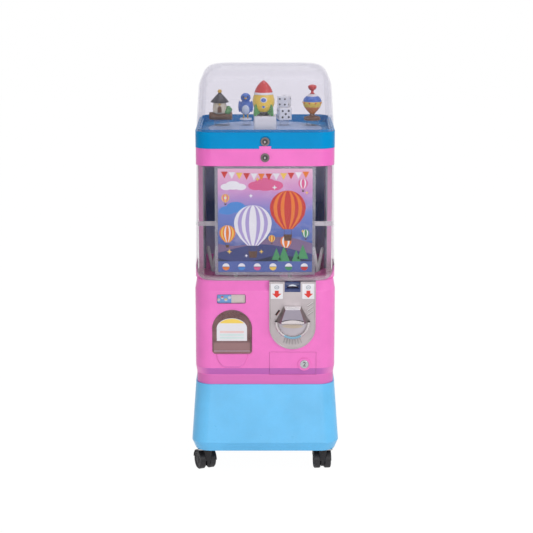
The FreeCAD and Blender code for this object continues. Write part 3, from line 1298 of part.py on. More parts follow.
def coin_lock_plug():
    z = PANEL_Z + COIN_LOCK_LIFT
    head = rod_y(LOCK_BARREL_RADIUS - LID_GAP, FRONT_Y - COIN_BOSS_PROUD, FRONT_Y - LID_GAP, COIN_LOCK_X, z)
    plug = rod_y(LOCK_PLUG_RADIUS, FRONT_Y - LID_GAP, PANEL_BACK + LOCK_CAM_THICK, COIN_LOCK_X, z)
    tail = PANEL_BACK + LOCK_CAM_THICK
    cam = box(COIN_LOCK_X - LOCK_CAM_LENGTH, COIN_LOCK_X + LOCK_CAM_WIDTH / 2, tail, tail + LOCK_CAM_THICK,
              z - LOCK_CAM_WIDTH / 2, z + LOCK_CAM_WIDTH / 2)
    return fuse([head, plug, cam])


# Display on top
def display_tray():
    """Blue lid: skirt, sunk floor for the toys, rim with a locating lip for the dome."""
    low = TRAY_Z + LID_GAP
    block = plan_block(low, DOME_Z, TRAY_WIDTH, WINDOW_FRONT)
    under = plan_block(low, TRAY_FLOOR_Z - TRAY_FLOOR_THICK, TRAY_WIDTH, WINDOW_FRONT, TRAY_SKIRT)
    well = plan_block(TRAY_FLOOR_Z, DOME_Z, TRAY_WIDTH, WINDOW_FRONT, TRAY_RIM)
    tray = block.cut(under).cut(well)
    lip_inset = DOME_WALL + 2 * LID_GAP
    rise = vec(0, 0, TRAY_LIP_HEIGHT)
    lip = Part.Face(dome_wire(DOME_Z, lip_inset)).extrude(rise)
    lip = lip.cut(Part.Face(dome_wire(DOME_Z, lip_inset + TRAY_LIP_WIDTH)).extrude(rise))
    half = LOCK_RECESS_WIDTH / 2
    z0 = TRAY_Z + LOCK_RECESS_LIFT
    corners = [(-half, z0, 0), (half, z0, 0), (half, z0 + LOCK_RECESS_HEIGHT, LOCK_RECESS_ROUND)]
    corners += [(-half, z0 + LOCK_RECESS_HEIGHT, LOCK_RECESS_ROUND)]
    recess = slab(corners, on_front(WINDOW_FRONT - WALL), vec(0, WALL + LOCK_RECESS_DEPTH, 0))
    tab_half = TAB_WIDTH / 2 + LID_GAP
    notch = box(-tab_half, tab_half, WINDOW_FRONT - WALL, WINDOW_FRONT + TAB_THICK + LID_GAP,
                TRAY_Z, TRAY_Z + TAB_HEIGHT + LID_GAP)
    bore = rod_y(LOCK_BODY_RADIUS, WINDOW_FRONT - WALL, WINDOW_FRONT + 2 * TRAY_RIM, 0, display_lock_z())
    return fuse([tray, lip]).cut(recess).cut(notch).cut(bore)


def stage_disc():
    return rod_z(STAGE_RADIUS, TRAY_FLOOR_Z, TRAY_FLOOR_Z + STAGE_THICK, 0, stage_y())


def stage_y():
    return (WINDOW_FRONT + BACK_Y) / 2


def housing_front():
    return WINDOW_FRONT + TRAY_RIM + LOCK_LENGTH + LOCK_CAM_THICK


def lock_housing():
    low = TRAY_FLOOR_Z + STAGE_THICK
    half = HOUSING_WIDTH / 2
    y0 = housing_front()
    outer = box(-half, half, y0, y0 + HOUSING_DEPTH, low, low + HOUSING_HEIGHT)
    upright = [edge for edge in outer.Edges if edge.BoundBox.ZLength > HOUSING_HEIGHT / 2]
    outer = outer.makeFillet(EDGE_ROUND, upright)
    w = HOUSING_WALL
    hollow = box(-half + w, half - w, y0 + w, y0 + HOUSING_DEPTH - w, low - w, low + HOUSING_HEIGHT - w)
    return outer.cut(hollow)


def toy_riser():
    """Clear guards beside the plinth, and a clear stand under each of the other toys."""
    low = TRAY_FLOOR_Z + STAGE_THICK
    half = HOUSING_WIDTH / 2 + LID_GAP
    y0 = housing_front() + EDGE_ROUND
    y1 = housing_front() + HOUSING_DEPTH - EDGE_ROUND
    outer = box(-half - RISER_THICK, half + RISER_THICK, y0, y1, low, low + RISER_HEIGHT)
    hollow = box(-half, half, y0, y1, low, low + RISER_HEIGHT - RISER_THICK)
    sides = outer.cut(hollow)
    sides = sides.cut(box(-half, half, y0, y1, low + HOUSING_HEIGHT, low + 2 * RISER_HEIGHT))
    stands = []
    feet = [(LOG_X, LOG_LENGTH / 2), (BIRD_X, BIRD_RADIUS)]
    feet += [(DICE_X, DICE_SIZES[0] / 2), (TOP_X, TOP_RADIUS)]
    for x, radius in feet:
        stands.append(rod_z(radius * STAND_SHARE, low, toy_z(), x, toy_y()))
    return Part.makeCompound([sides] + stands)


def turned(profile, radius, height, x, y, z):
    """Solid turned about an upright axis, from an outline in shares of its radius and height."""
    corners = [vec(x, y, z + height * profile[0][1])]
    corners += [vec(x + radius * u, y, z + height * v) for u, v in profile]
    corners.append(vec(x, y, z + height))
    return Part.Face(Part.makePolygon(corners + corners[:1])).revolve(vec(x, y, z), vec(0, 0, 1), 360)


def toy_y():
    return stage_y() + TOY_SET_BACK


def toy_z():
    return TRAY_FLOOR_Z + STAGE_THICK + STAND_HEIGHT


def cottage():
    log = rod_x(LOG_RADIUS, LOG_X - LOG_LENGTH / 2, LOG_X + LOG_LENGTH / 2, toy_y(), toy_z() + LOG_RADIUS)
    return fuse([log, turned(COTTAGE, COTTAGE_RADIUS, COTTAGE_HEIGHT, LOG_X, toy_y(), toy_z())])


def dice_stack():
    stack = []
    low = toy_z()
    for size, turn in zip(DICE_SIZES, DICE_ANGLES):
        die = box(-size / 2, size / 2, -size / 2, size / 2, low, low + size)
        die.rotate(vec(0, 0, 0), vec(0, 0, 1), turn)
        die.translate(vec(DICE_X, toy_y(), 0))
        stack.append(die)
        low += size
    return fuse(stack)


def rocket():
    y = housing_front() + HOUSING_DEPTH / 2
    low = TRAY_FLOOR_Z + STAGE_THICK + HOUSING_HEIGHT
    outline = [(0, low, 0), (FIN_REACH, low, 0), (FIN_REACH, low + FIN_HEIGHT / 3, 0)]
    outline += [(0, low + FIN_HEIGHT, 0)]
    fins = []
    for angle in (45, 135, 225, 315):
        fin = slab(outline, on_front(-FIN_THICK / 2), vec(0, FIN_THICK, 0))
        fin.rotate(vec(0, 0, 0), vec(0, 0, 1), angle)
        fin.translate(vec(0, y, 0))
        fins.append(fin)
    return fuse([turned(ROCKET, ROCKET_RADIUS, ROCKET_HEIGHT, 0, y, low)] + fins)


def display_toys():
    bird = turned(BIRD, BIRD_RADIUS, BIRD_HEIGHT, BIRD_X, toy_y(), toy_z())
    top = turned(TOP, TOP_RADIUS, TOP_HEIGHT, TOP_X, toy_y(), toy_z())
    return Part.makeCompound([cottage(), bird, rocket(), dice_stack(), top])


def dome_wire(z, inset, front_inset=0.0, side_inset=0.0):
    """Outline of the dome at one height, with all four corners alike."""
    half = DOME_WIDTH / 2 - inset - side_inset
    front = WINDOW_FRONT + DOME_INSET + inset + front_inset
    back = BACK_Y - DOME_INSET - inset - side_inset
    return rounded_wire(rectangle(-half, half, front, back, FRONT_CORNER - inset), on_plan(z))


def rounding(radius, below_top):
    """How far a quarter-round edge has drawn in, at a depth below its top."""
    if below_top >= radius:
        return 0.0
    return radius - math.sqrt(radius ** 2 - (radius - below_top) ** 2)


def dome_form(inset):
    """Leaning walls that run into the top by a wide curve in front and a tighter one on the other sides."""
    low = DOME_Z + LID_GAP
    top = TOP_Z - inset
    front_round = DOME_FRONT_ROUND - inset
    side_round = DOME_SIDE_ROUND - inset
    wires = [dome_wire(low, inset)]
    for i in range(DOME_STEPS + 1):
        below = front_round * (1 - math.sin(math.pi / 2 * i / DOME_STEPS))
        lean = DOME_DRAFT * (top - below - low) / (top - low)
        front = lean + rounding(front_round, below)
        side = lean + rounding(side_round, below)
        wires.append(dome_wire(top - below, inset, front, side))
    return Part.makeLoft(wires, True, True)


def dome():
    return dome_form(0.0).cut(dome_form(DOME_WALL))


def main():
    os.makedirs("parts", exist_ok=True)
    body = lower_body()
    walls = body.cut(lower_hollow())
    nodes = {
        "stand_shell": stand_shell(),
        "stand_floor": stand_floor(),
        "caster_plates": caster_plates(),
        "lower_shell": lower_shell(walls),
        "front_panel": front_panel(walls),
        "price_lens": price_lens(),
        "price_card": price_card(),
        "capsule_chute": capsule_chute(),
        "coin_plate": coin_plate(body),
        "coin_slot_insert": coin_slot_insert(),
        "coin_chute": coin_chute(),
        "mech_bracket": mech_bracket(),
        "shaft_bushes": shaft_bushes(),
        "drawer_guide": drawer_guide(),
        "wheel_floor": wheel_floor(),
        "wheel_spindle": wheel_spindle(),
        "window": window(),
        "window_screws": window_screws(),
        "rear_shell": rear_shell(),
        "hopper_liner": hopper_liner(),
        "poster_holder": poster_holder(),
        "poster": poster(),
        "poster_standoffs": poster_standoffs(),
        "top_frame": top_frame(),
        "frame_lock_barrel": frame_lock_barrel(),
        "frame_lock_plug": frame_lock_plug(),
        "door_pin": door_pin(),
        "capsule_door": capsule_door(),
        "knob": knob(),
        "knob_shaft": knob_shaft(),
        "coin_disc": coin_disc(),
        "drive_gear": drive_gear(),
        "lay_shaft": lay_shaft(),
        "lay_gear": lay_gear(),
        "crown_pinion": crown_pinion(),
        "capsule_wheel": capsule_wheel(),
        "crown_gear": crown_gear(),
        "agitator_fingers": agitator_fingers(),
        "coin_door": coin_door(walls),
        "coin_box": coin_box(),
        "coin_lock_plug": coin_lock_plug(),
        "display_tray": display_tray(),
        "stage_disc": stage_disc(),
        "lock_housing": lock_housing(),
        "toy_riser": toy_riser(),
        "display_toys": display_toys(),
        "display_lock_barrel": display_lock_barrel(),
        "display_lock_plug": display_lock_plug(),
        "dome": dome(),
    }
    hood = caster_hood()
    wheels = caster_wheels()
    for corner in CASTER_ANGLES:
        nodes["caster_hood_" + corner] = at_caster(hood, corner)
        nodes["caster_wheels_" + corner] = at_caster(wheels, corner)
    for name, shape in nodes.items():
        shape.exportStep(os.path.join("parts", name + ".step"))


main()
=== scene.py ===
from math import cos, hypot, pi, radians, sin, sqrt, tan
from types import SimpleNamespace

import bmesh
import bpy
from mathutils import Matrix, Vector


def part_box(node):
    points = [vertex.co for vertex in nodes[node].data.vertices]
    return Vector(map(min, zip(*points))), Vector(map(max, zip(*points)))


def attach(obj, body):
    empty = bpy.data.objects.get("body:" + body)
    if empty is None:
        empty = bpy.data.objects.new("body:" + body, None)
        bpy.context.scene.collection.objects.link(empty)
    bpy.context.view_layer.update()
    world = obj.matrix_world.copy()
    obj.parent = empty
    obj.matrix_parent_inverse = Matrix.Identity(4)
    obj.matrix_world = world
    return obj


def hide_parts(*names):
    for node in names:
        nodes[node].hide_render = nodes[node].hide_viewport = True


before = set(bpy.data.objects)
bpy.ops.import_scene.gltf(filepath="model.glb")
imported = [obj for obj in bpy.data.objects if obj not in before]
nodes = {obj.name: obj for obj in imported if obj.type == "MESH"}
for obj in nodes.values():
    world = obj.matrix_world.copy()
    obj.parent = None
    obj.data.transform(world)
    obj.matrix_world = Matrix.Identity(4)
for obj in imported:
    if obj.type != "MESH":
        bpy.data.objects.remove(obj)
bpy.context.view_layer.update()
scene = bpy.context.scene
scene.view_settings.view_transform = "Standard"
MM = 0.001
RIGHT, REAR, UP = Vector((1, 0, 0)), Vector((0, 1, 0)), Vector((0, 0, 1))


# Colours
def linear(channel):
    share = channel / 255
    return share / 12.92 if share <= 0.04045 else ((share + 0.055) / 1.055) ** 2.4


def colour(tone):
    return tuple(linear(channel) for channel in tone) + (1.0,)


def scaled(tone, factor):
    return tuple(min(1.0, c * factor) for c in tone[:3]) + (1.0,)


# Shader nodes
def fill(tree, node, inputs):
    """Gives each named socket of a node a constant or a link."""
    for key, value in inputs.items():
        if isinstance(value, bpy.types.NodeSocket):
            tree.links.new(value, node.inputs[key])
        else:
            node.inputs[key].default_value = value


def add(tree, kind, inputs=None, **values):
    node = tree.nodes.new("ShaderNode" + kind)
    for key, value in values.items():
        setattr(node, key, value)
    fill(tree, node, inputs or {})
    return node


def result(tree, kind, socket, inputs=None, **values):
    return add(tree, kind, inputs, **values).outputs[socket]


def noise(tree, scale, detail=3.0, roughness=0.5, stretch=None):
    source = result(tree, "TexCoord", "Object")
    if stretch:
        source = result(tree, "Mapping", "Vector", {"Vector": source, "Scale": stretch})
    settings = {"Vector": source, "Scale": scale, "Detail": detail, "Roughness": roughness}
    return result(tree, "TexNoise", "Fac", settings)


def ranged(tree, value, low, high, start=0.3, end=0.7):
    """What runs from start to end runs from low to high instead."""
    settings = {"Value": value, "From Min": start, "From Max": end, "To Min": low, "To Max": high}
    return result(tree, "MapRange", "Result", settings)


def worked(tree, operation, *values, clamp=False):
    return result(tree, "Math", "Value", dict(enumerate(values)), operation=operation, use_clamp=clamp)


def blended(tree, factor, first, second, mode="MIX"):
    settings = {"Factor": factor, "A": first, "B": second}
    return result(tree, "Mix", "Result", settings, data_type="RGBA", blend_type=mode)


def split(tree, vector):
    return add(tree, "SeparateXYZ", {"Vector": vector}).outputs


def height_of(tree):
    """Height in the part's frame at rest, in metres."""
    return split(tree, result(tree, "TexCoord", "Object"))["Z"]


def banded(tree, bands):
    """Tones that follow each other with height."""
    low, high = bands[0][0], bands[-1][0]
    ramp = add(tree, "ValToRGB", {"Fac": ranged(tree, height_of(tree), 0.0, 1.0, low, high)})
    elements = ramp.color_ramp.elements
    elements[0].color = colour(bands[0][1])
    elements[1].color = colour(bands[-1][1])
    for height, tone in bands[1:-1]:
        elements.new((height - low) / (high - low)).color = colour(tone)
    return ramp.outputs["Color"]


def softened(tree, reach):
    """Normal that rounds off edges within a reach in metres."""
    return result(tree, "Bevel", "Normal", {"Radius": reach}, samples=4)


def edge_mask(tree, reach):
    """White along convex and concave edges, black on open faces."""
    flat = result(tree, "NewGeometry", "Normal")
    pair = {0: softened(tree, reach), 1: flat}
    flatness = result(tree, "VectorMath", "Value", pair, operation="DOT_PRODUCT")
    return ranged(tree, flatness, 1.0, 0.0, 0.6, 0.985)


def bumped(tree, height, strength, distance, **inputs):
    settings = {"Height": height, "Strength": strength, "Distance": distance, **inputs}
    return result(tree, "Bump", "Normal", settings)


def show_mixed(tree, share, first, second):
    """Sends a mix of two shaders to the material's output."""
    mix = result(tree, "MixShader", "Shader", {"Fac": share, 1: first, 2: second})
    fill(tree, tree.nodes["Material Output"], {"Surface": mix})


# Materials
GLOSS_SPREAD = 0.08
WORN_REACH = 0.0014
ROUNDED_REACH = 0.0012
GRAIN_DEPTH = 0.0004
WAVE_DEPTH = 0.002


def new_material(name):
    made = bpy.data.materials.new(name)
    made.use_nodes = True
    tree = made.node_tree
    return made, tree, tree.nodes["Principled BSDF"]


def surface(name, tone, rough=0.4, metal=0.0, drift=0.07, grain=900.0, bump=0.06, wear=0.25, stretch=None,
            worn=None, under=None, shine=0.5, crisp=False, bands=None, foot=None):
    """Moulded plastic, paint or metal: cloudy colour, varied gloss, fine grain and rubbed edges.

    The tone given as under is painted shade and painted reflection on the faces that look down and not
    aside. A crisp surface has no softened edges. The heights and tones given as bands shade the surface
    from bottom to top, and foot gives two heights and the tone of painted shade that it fades to below
    them.
    """
    made, tree, shader = new_material(name)
    tone = colour(tone)
    fine = noise(tree, grain, 2.0, 0.6, stretch)
    if bands:
        base = banded(tree, bands)
    else:
        cloud = ranged(tree, noise(tree, 9.0, 4.0, 0.6), 0.0, 1.0)
        base = blended(tree, cloud, scaled(tone, 1.0 - drift), scaled(tone, 1.0 + drift))
        speck = ranged(tree, fine, 1.0 - drift / 2, 1.0 + drift / 2)
        base = blended(tree, 1.0, base, speck, "MULTIPLY")
    # Painted shade: darker below the foot heights.
    if foot:
        low, high, foot_shade = foot
        base = blended(tree, ranged(tree, height_of(tree), 1.0, 0.0, low, high), base, colour(foot_shade))
    if wear > 0:
        patch = ranged(tree, noise(tree, 60.0, 5.0, 0.7), 0.0, wear, 0.42, 0.66)
        rubbed = worked(tree, "MULTIPLY", edge_mask(tree, WORN_REACH), patch)
        base = blended(tree, rubbed, base, colour(worn) if worn else scaled(tone, 1.35))
    # Painted shade and painted reflection: the under tone on faces that look down and not aside.
    if under:
        facing = split(tree, result(tree, "NewGeometry", "Normal"))
        down = ranged(tree, facing["Z"], 1.0, 0.0, -0.45, -0.12)
        ahead = ranged(tree, worked(tree, "ABSOLUTE", facing["X"]), 1.0, 0.0, 0.12, 0.6)
        base = blended(tree, worked(tree, "MULTIPLY", down, ahead), base, colour(under))
    streak = noise(tree, 26.0, 5.0, 0.65, stretch)
    edges = {} if crisp else {"Normal": softened(tree, ROUNDED_REACH)}
    fill(tree, shader, {
        "Base Color": base,
        "Roughness": ranged(tree, streak, rough - GLOSS_SPREAD, rough + GLOSS_SPREAD),
        "Metallic": metal,
        "Specular IOR Level": shine,
        "Normal": bumped(tree, fine, bump, GRAIN_DEPTH, **edges),
    })
    return made


def clear(name, tint, film, film_tone, gloss=0.06, edge=0.5, foot=None):
    """Clear moulded plastic: tinted, with a thin film of scuffs and stronger edges.

    The two heights and the strength given as foot make a hazier band along the lower edge.
    """
    made, tree, shader = new_material(name)
    haze = ranged(tree, noise(tree, 14.0, 6.0, 0.65), film * 0.6, film * 1.4)
    if foot:
        low, high, most = foot
        haze = worked(tree, "MAXIMUM", haze, ranged(tree, height_of(tree), most, 0.0, low, high))
    rim = result(tree, "LayerWeight", "Fresnel", {"Blend": 0.28})
    share = worked(tree, "MULTIPLY_ADD", rim, edge, haze, clamp=True)
    through = result(tree, "BsdfTransparent", "BSDF", {"Color": colour(tint)})
    fill(tree, shader, {
        "Base Color": colour(film_tone),
        "Roughness": ranged(tree, noise(tree, 40.0, 6.0, 0.7), gloss * 0.5, gloss * 2.0),
        "Normal": bumped(tree, noise(tree, 5.0, 1.0), 0.05, WAVE_DEPTH),
    })
    show_mixed(tree, share, through, shader.outputs["BSDF"])
    return made


def ink(name, tone, rough=0.5):
    """Printed colour with a little uneven coverage."""
    return surface(name, tone, rough, drift=0.05, grain=2200.0, bump=0.02, wear=0.0, crisp=True)


def paint(name, tone, rough=0.3):
    return surface(name, tone, rough, drift=0.06, grain=700.0, bump=0.04, wear=0.18)


def palette(make, prefix, **tones):
    """Inks or paints by name, each from red, green, blue and perhaps a roughness."""
    return SimpleNamespace(**{name: make(prefix + "_" + name, tone[:3], *tone[3:])
                              for name, tone in tones.items()})


# The under tone is painted shade with a painted reflection of the blue base below, and the foot tone is
# painted shade on the tilted lower band.
pink = surface("pink_plastic", (237, 115, 196), 0.36, wear=0.22, worn=(250, 190, 228),
               under=(200, 100, 186), foot=(0.271, 0.277, (217, 107, 183)))
# A darker copy of the pink plastic, as painted shade on the top frame.
frame_pink = surface("frame_pink_plastic", (231, 103, 189), 0.36, wear=0.22,
                     worn=(248, 186, 226))
rose = surface("rose_floor", (222, 84, 164), 0.3)
blue = surface("blue_plastic", (101, 189, 239), 0.34, worn=(190, 228, 250))
ring_blue = surface("ring_blue_plastic", (0, 139, 200), 0.32, worn=(120, 190, 226), shine=0.06)
stage_blue = surface("stage_blue_plastic", (156, 180, 214), 0.5)
# Painted light: the paler lining bands low down and high up paint the light and reflections inside the
# hopper; the navy between is the lining's own colour.
PAINTED_LIGHT_HEIGHTS = (0.53, 0.606, 0.622, 0.676, 0.735, 0.834)
navy = surface("navy_plastic", (26, 62, 132), 0.4, shine=0.2, bands=tuple(zip(PAINTED_LIGHT_HEIGHTS, (
    (186, 170, 200), (166, 172, 210), (24, 60, 128), (22, 62, 134), (186, 194, 224), (246, 246, 250)))))
# Darker copy of the lining bands, painted shade for the border on the flanges.
painted_shade_navy = surface("navy_edge_painted_shade", (20, 30, 60), 0.45, shine=0.2, bands=tuple(zip(PAINTED_LIGHT_HEIGHTS, (
    (92, 84, 112), (84, 88, 116), (14, 28, 62), (14, 28, 62), (88, 92, 118), (112, 114, 138)))))
white = surface("white_plastic", (236, 236, 238), 0.4, wear=0.1)
grey = surface("grey_plastic", (150, 140, 148), 0.5)
wheel_grey = surface("wheel_plastic", (232, 186, 214), 0.4)
finger_white = surface("finger_plastic", (252, 252, 252), 0.35, wear=0.1)
black = surface("black_plastic", (27, 25, 29), 0.45, worn=(72, 68, 72), shine=0.35)
dark_blue = surface("coin_seat_plastic", (46, 60, 112), 0.22, wear=0.15)
cast = surface("satin_metal", (172, 163, 166), 0.36, 0.75, drift=0.1, grain=1400.0, bump=0.1,
               wear=0.35, stretch=(1, 1, 6), worn=(226, 222, 224))
knob_cast = surface("knob_metal", (196, 188, 190), 0.28, 0.85, drift=0.05, grain=1400.0, wear=0.4,
                    worn=(236, 232, 232))
steel = surface("steel", (178, 180, 184), 0.3, 1.0, drift=0.05, grain=1100.0, bump=0.05, wear=0.3,
                stretch=(1, 8, 1), worn=(214, 216, 220))
lock_metal = surface("lock_metal", (92, 85, 86), 0.3, 0.9, drift=0.08, bump=0.05, wear=0.35,
                     worn=(170, 164, 160))
lock_brass = surface("lock_brass", (74, 67, 68), 0.34, 0.8, drift=0.1, bump=0.05, wear=0.3,
                     worn=(150, 138, 118))
brass = surface("brass", (198, 160, 92), 0.32, 1.0, drift=0.08, bump=0.05, wear=0.35,
                worn=(226, 200, 140))
tread = surface("caster_tread", (34, 31, 35), 0.62, drift=0.1, grain=500.0, bump=0.16, wear=0.2)
card = surface("printed_card", (226, 220, 226), 0.6, drift=0.03, grain=1600.0, bump=0.04, wear=0.0)
window_clear = clear("clear_plastic", (251, 251, 252), 0.005, (222, 217, 222), edge=0.3,
                     foot=(0.5335, 0.5435, 0.34))
dome_clear = clear("dome_plastic", (247, 246, 249), 0.03, (228, 227, 234), 0.05, 0.18)
holder_clear = clear("holder_plastic", (248, 248, 250), 0.05, (236, 236, 240), 0.05, 0.45)
stand_clear = clear("stand_plastic", (252, 252, 253), 0.07, (244, 244, 248), 0.1, 0.16)
sleeve_clear = clear("sleeve_plastic", (246, 246, 249), 0.24, (228, 226, 236), 0.05)
bar_clear = clear("bar_plastic", (244, 242, 245), 0.5, (246, 240, 246), 0.05, 0.6)
smoke = clear("smoke_plastic", (208, 170, 166), 0.36, (186, 146, 148), 0.1,
              foot=(0.362, 0.376, 0.6))

NODE_LOOKS = (
    (pink, "lower_shell front_panel rear_shell coin_door"),
    (frame_pink, "top_frame"),
    (blue, "stand_shell stand_floor"),
    (ring_blue, "display_tray"),
    (stage_blue, "stage_disc"),
    (navy, "hopper_liner"),
    (dark_blue, "coin_slot_insert"),
    (white, "window_screws lock_housing drive_gear lay_gear crown_pinion crown_gear"),
    (grey, "capsule_chute drawer_guide wheel_floor coin_box"),
    (wheel_grey, "capsule_wheel"),
    (finger_white, "agitator_fingers"),
    (cast, "coin_plate"),
    (knob_cast, "knob"),
    (steel, "caster_plates coin_chute mech_bracket wheel_spindle door_pin"),
    (steel, "knob_shaft lay_shaft coin_lock_plug"),
    (lock_metal, "frame_lock_barrel display_lock_barrel"),
    (lock_brass, "frame_lock_plug display_lock_plug"),
    (brass, "shaft_bushes coin_disc"),
    (card, "price_card poster"),
    (window_clear, "window"),
    (dome_clear, "dome"),
    (holder_clear, "price_lens"),
    (stand_clear, "toy_riser"),
    (sleeve_clear, "poster_holder"),
    (bar_clear, "poster_standoffs"),
    (smoke, "capsule_door"),
)


def dress(node, look):
    mesh = nodes[node].data
    mesh.materials.clear()
    mesh.materials.append(look)


for look, names in NODE_LOOKS:
    for node in names.split():
        dress(node, look)
for node in nodes:
    if node.startswith("caster_hood"):
        dress(node, black)
    if node.startswith("caster_wheels"):
        dress(node, tread)


# Camera at the photograph's angle, and plain studio light
CAMERA_PLACE = (0.0036, -4.189, 1.451)
CAMERA_DIP = 12.315
CAMERA_LENS, CAMERA_SENSOR = 106.4, 36.0
FLOOR_HALF = 9
WORLD_LEVEL = 0.43
LAMPS = (
    ("key", (2.3, -2.4, 2.5), (0, 0, 0.55), 1.6, 44),
    ("fill", (-2.4, -2.2, 1.5), (0, 0, 0.5), 2.0, 8),
    ("front", (0.5, -3.6, 1.0), (0, 0, 0.6), 2.4, 30),
    ("top", (0.2, 0.3, 3.2), (0, 0, 0.6), 1.8, 22),
)


def link(name, data):
    made = bpy.data.objects.new(name, data)
    scene.collection.objects.link(made)
    return made


def place_camera():
    data = bpy.data.cameras.new("camera")
    data.sensor_width = CAMERA_SENSOR
    data.lens = CAMERA_LENS
    data.clip_end = 100.0
    camera = link("camera", data)
    camera.location = CAMERA_PLACE
    camera.rotation_euler = (radians(90.0 - CAMERA_DIP), 0.0, 0.0)
    scene.camera = camera


def lamp(name, place, target, size, power):
    data = bpy.data.lights.new(name, "AREA")
    data.shape = "DISK"
    data.size = size
    data.energy = power
    light = link(name, data)
    light.location = place
    aim = Vector(target) - Vector(place)
    light.rotation_euler = aim.to_track_quat("-Z", "Y").to_euler()


def seen_by_eye(tree):
    """One for rays from the camera, from mirrors and through glass."""
    path = add(tree, "LightPath")
    total = path.outputs["Is Camera Ray"]
    for name in ("Is Glossy Ray", "Is Transmission Ray"):
        total = worked(tree, "MAXIMUM", total, path.outputs[name])
    return total


def light_world(level):
    world = bpy.data.worlds.new("studio")
    world.use_nodes = True
    scene.world = world
    tree = world.node_tree
    strength = ranged(tree, seen_by_eye(tree), level, 1.0, 0.0, 1.0)
    fill(tree, tree.nodes["Background"], {"Color": (1.0, 1.0, 1.0, 1.0), "Strength": strength})


def lay_floor(half):
    mesh = bpy.data.meshes.new("floor")
    corners = [(-half, -half, 0), (half, -half, 0), (half, half, 0), (-half, half, 0)]
    mesh.from_pydata(corners, [], [(0, 1, 2, 3)])
    floor = link("floor", mesh)
    made, tree, shader = new_material("floor_paper")
    paper = {"Base Color": (0.9, 0.9, 0.9, 1.0), "Roughness": 0.9, "Specular IOR Level": 0.1}
    fill(tree, shader, paper)
    glow = result(tree, "Emission", "Emission", {"Strength": 1.02})
    share = ranged(tree, seen_by_eye(tree), 0.0, 0.97, 0.0, 1.0)
    show_mixed(tree, share, shader.outputs["BSDF"], glow)
    mesh.materials.append(made)


place_camera()
light_world(WORLD_LEVEL)
lay_floor(FLOOR_HALF)
for settings in LAMPS:
    lamp(*settings)


# Building flat prints and small solids
PRINT_GAP = 0.06
LAYER_GAP = 0.03


class Builder:
    """Collects faces with materials, in millimetres of the part's frame."""

    def __init__(self):
        self.points = []
        self.faces = []
        self.looks = []
        self.marks = []

    def face(self, corners, made):
        start = len(self.points)
        self.points += [tuple(c * MM for c in corner) for corner in corners]
        self.faces.append(tuple(range(start, start + len(corners))))
        if made not in self.looks:
            self.looks.append(made)
        self.marks.append(self.looks.index(made))

    def flat(self, outline, y, made):
        self.face([(u, y, v) for u, v in outline], made)

    def pane(self, x0, x1, z0, z1, y, made):
        self.flat([(x0, z0), (x1, z0), (x1, z1), (x0, z1)], y, made)

    def strip(self, rows, made, closed=False):
        """Faces between each row of points and the next; a closed row runs round to its start."""
        for a, b in zip(rows, rows[1:]):
            for i in range(len(a) if closed else len(a) - 1):
                k = (i + 1) % len(a)
                self.face([a[i], a[k], b[k], b[i]], made)

    def shape(self, name, body="cabinet", slot="printed_card", smooth=False):
        mesh = bpy.data.meshes.new(name)
        mesh.from_pydata(self.points, [], self.faces)
        for made in self.looks:
            mesh.materials.append(made)
        mesh.polygons.foreach_set("material_index", self.marks)
        work = bmesh.new()
        work.from_mesh(mesh)
        bmesh.ops.remove_doubles(work, verts=work.verts, dist=1e-6)
        if smooth:
            bmesh.ops.recalc_face_normals(work, faces=work.faces)
        work.to_mesh(mesh)
        work.free()
        if smooth:
            mesh.shade_smooth()
            mesh.set_sharp_from_angle(angle=radians(40))
        piece = link(name, mesh)
        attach(piece, body)
        return piece


def box_mm(node):
    """Lower and upper corner of a node's box, in millimetres."""
    return [[c / MM for c in corner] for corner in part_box(node)]


def centre_mm(node):
    return [(a + b) / 2 for a, b in zip(*box_mm(node))]


def spread(steps):
    """Even steps from minus one to one."""
    return [2 * i / steps - 1 for i in range(steps + 1)]


def ellipse(cx, cz, rx, rz, steps=32, start=0.0, end=360.0):
    points = []
    for i in range(steps + 1):
        angle = radians(start + (end - start) * i / steps)
        points.append((cx + rx * cos(angle), cz + rz * sin(angle)))
    if abs(end - start) >= 360.0:
        points.pop()
    return points


def rounded(x0, x1, z0, z1, radius, steps=6):
    points = []
    for cx, cz, start in ((x1 - radius, z0 + radius, -90), (x1 - radius, z1 - radius, 0),
                          (x0 + radius, z1 - radius, 90), (x0 + radius, z0 + radius, 180)):
        points += ellipse(cx, cz, radius, radius, steps, start, start + 90)
    return points


def slanted(cx, cz, turn, along, across):
    """Rectangle turned by degrees, from one reach to another along and across it."""
    c, s = cos(radians(turn)), sin(radians(turn))
    (r0, r1), (t0, t1) = along, across
    return [(cx + c * r - s * t, cz + s * r + c * t) for r, t in ((r0, t0), (r1, t0), (r1, t1), (r0, t1))]


def soft_outline(corners, radius, steps=4):
    """Closed outline with rounded corners."""
    points = []
    count = len(corners)
    for i in range(count):
        here = Vector(corners[i])
        before = (Vector(corners[i - 1]) - here).normalized()
        after = (Vector(corners[(i + 1) % count]) - here).normalized()
        half = before.angle(after) / 2
        hub = here + (before + after).normalized() * radius / sin(half)
        start = here + before * radius / tan(half) - hub
        end = here + after * radius / tan(half) - hub
        for k in range(steps + 1):
            reach = start.lerp(end, k / steps).normalized() * radius
            points.append(tuple(hub + reach))
    return points


def ring(centre, first, second, steps):
    """Points round a centre, in the plane of two half-axes."""
    angles = (2 * pi * k / steps for k in range(steps))
    return [centre + first * cos(a) + second * sin(a) for a in angles]


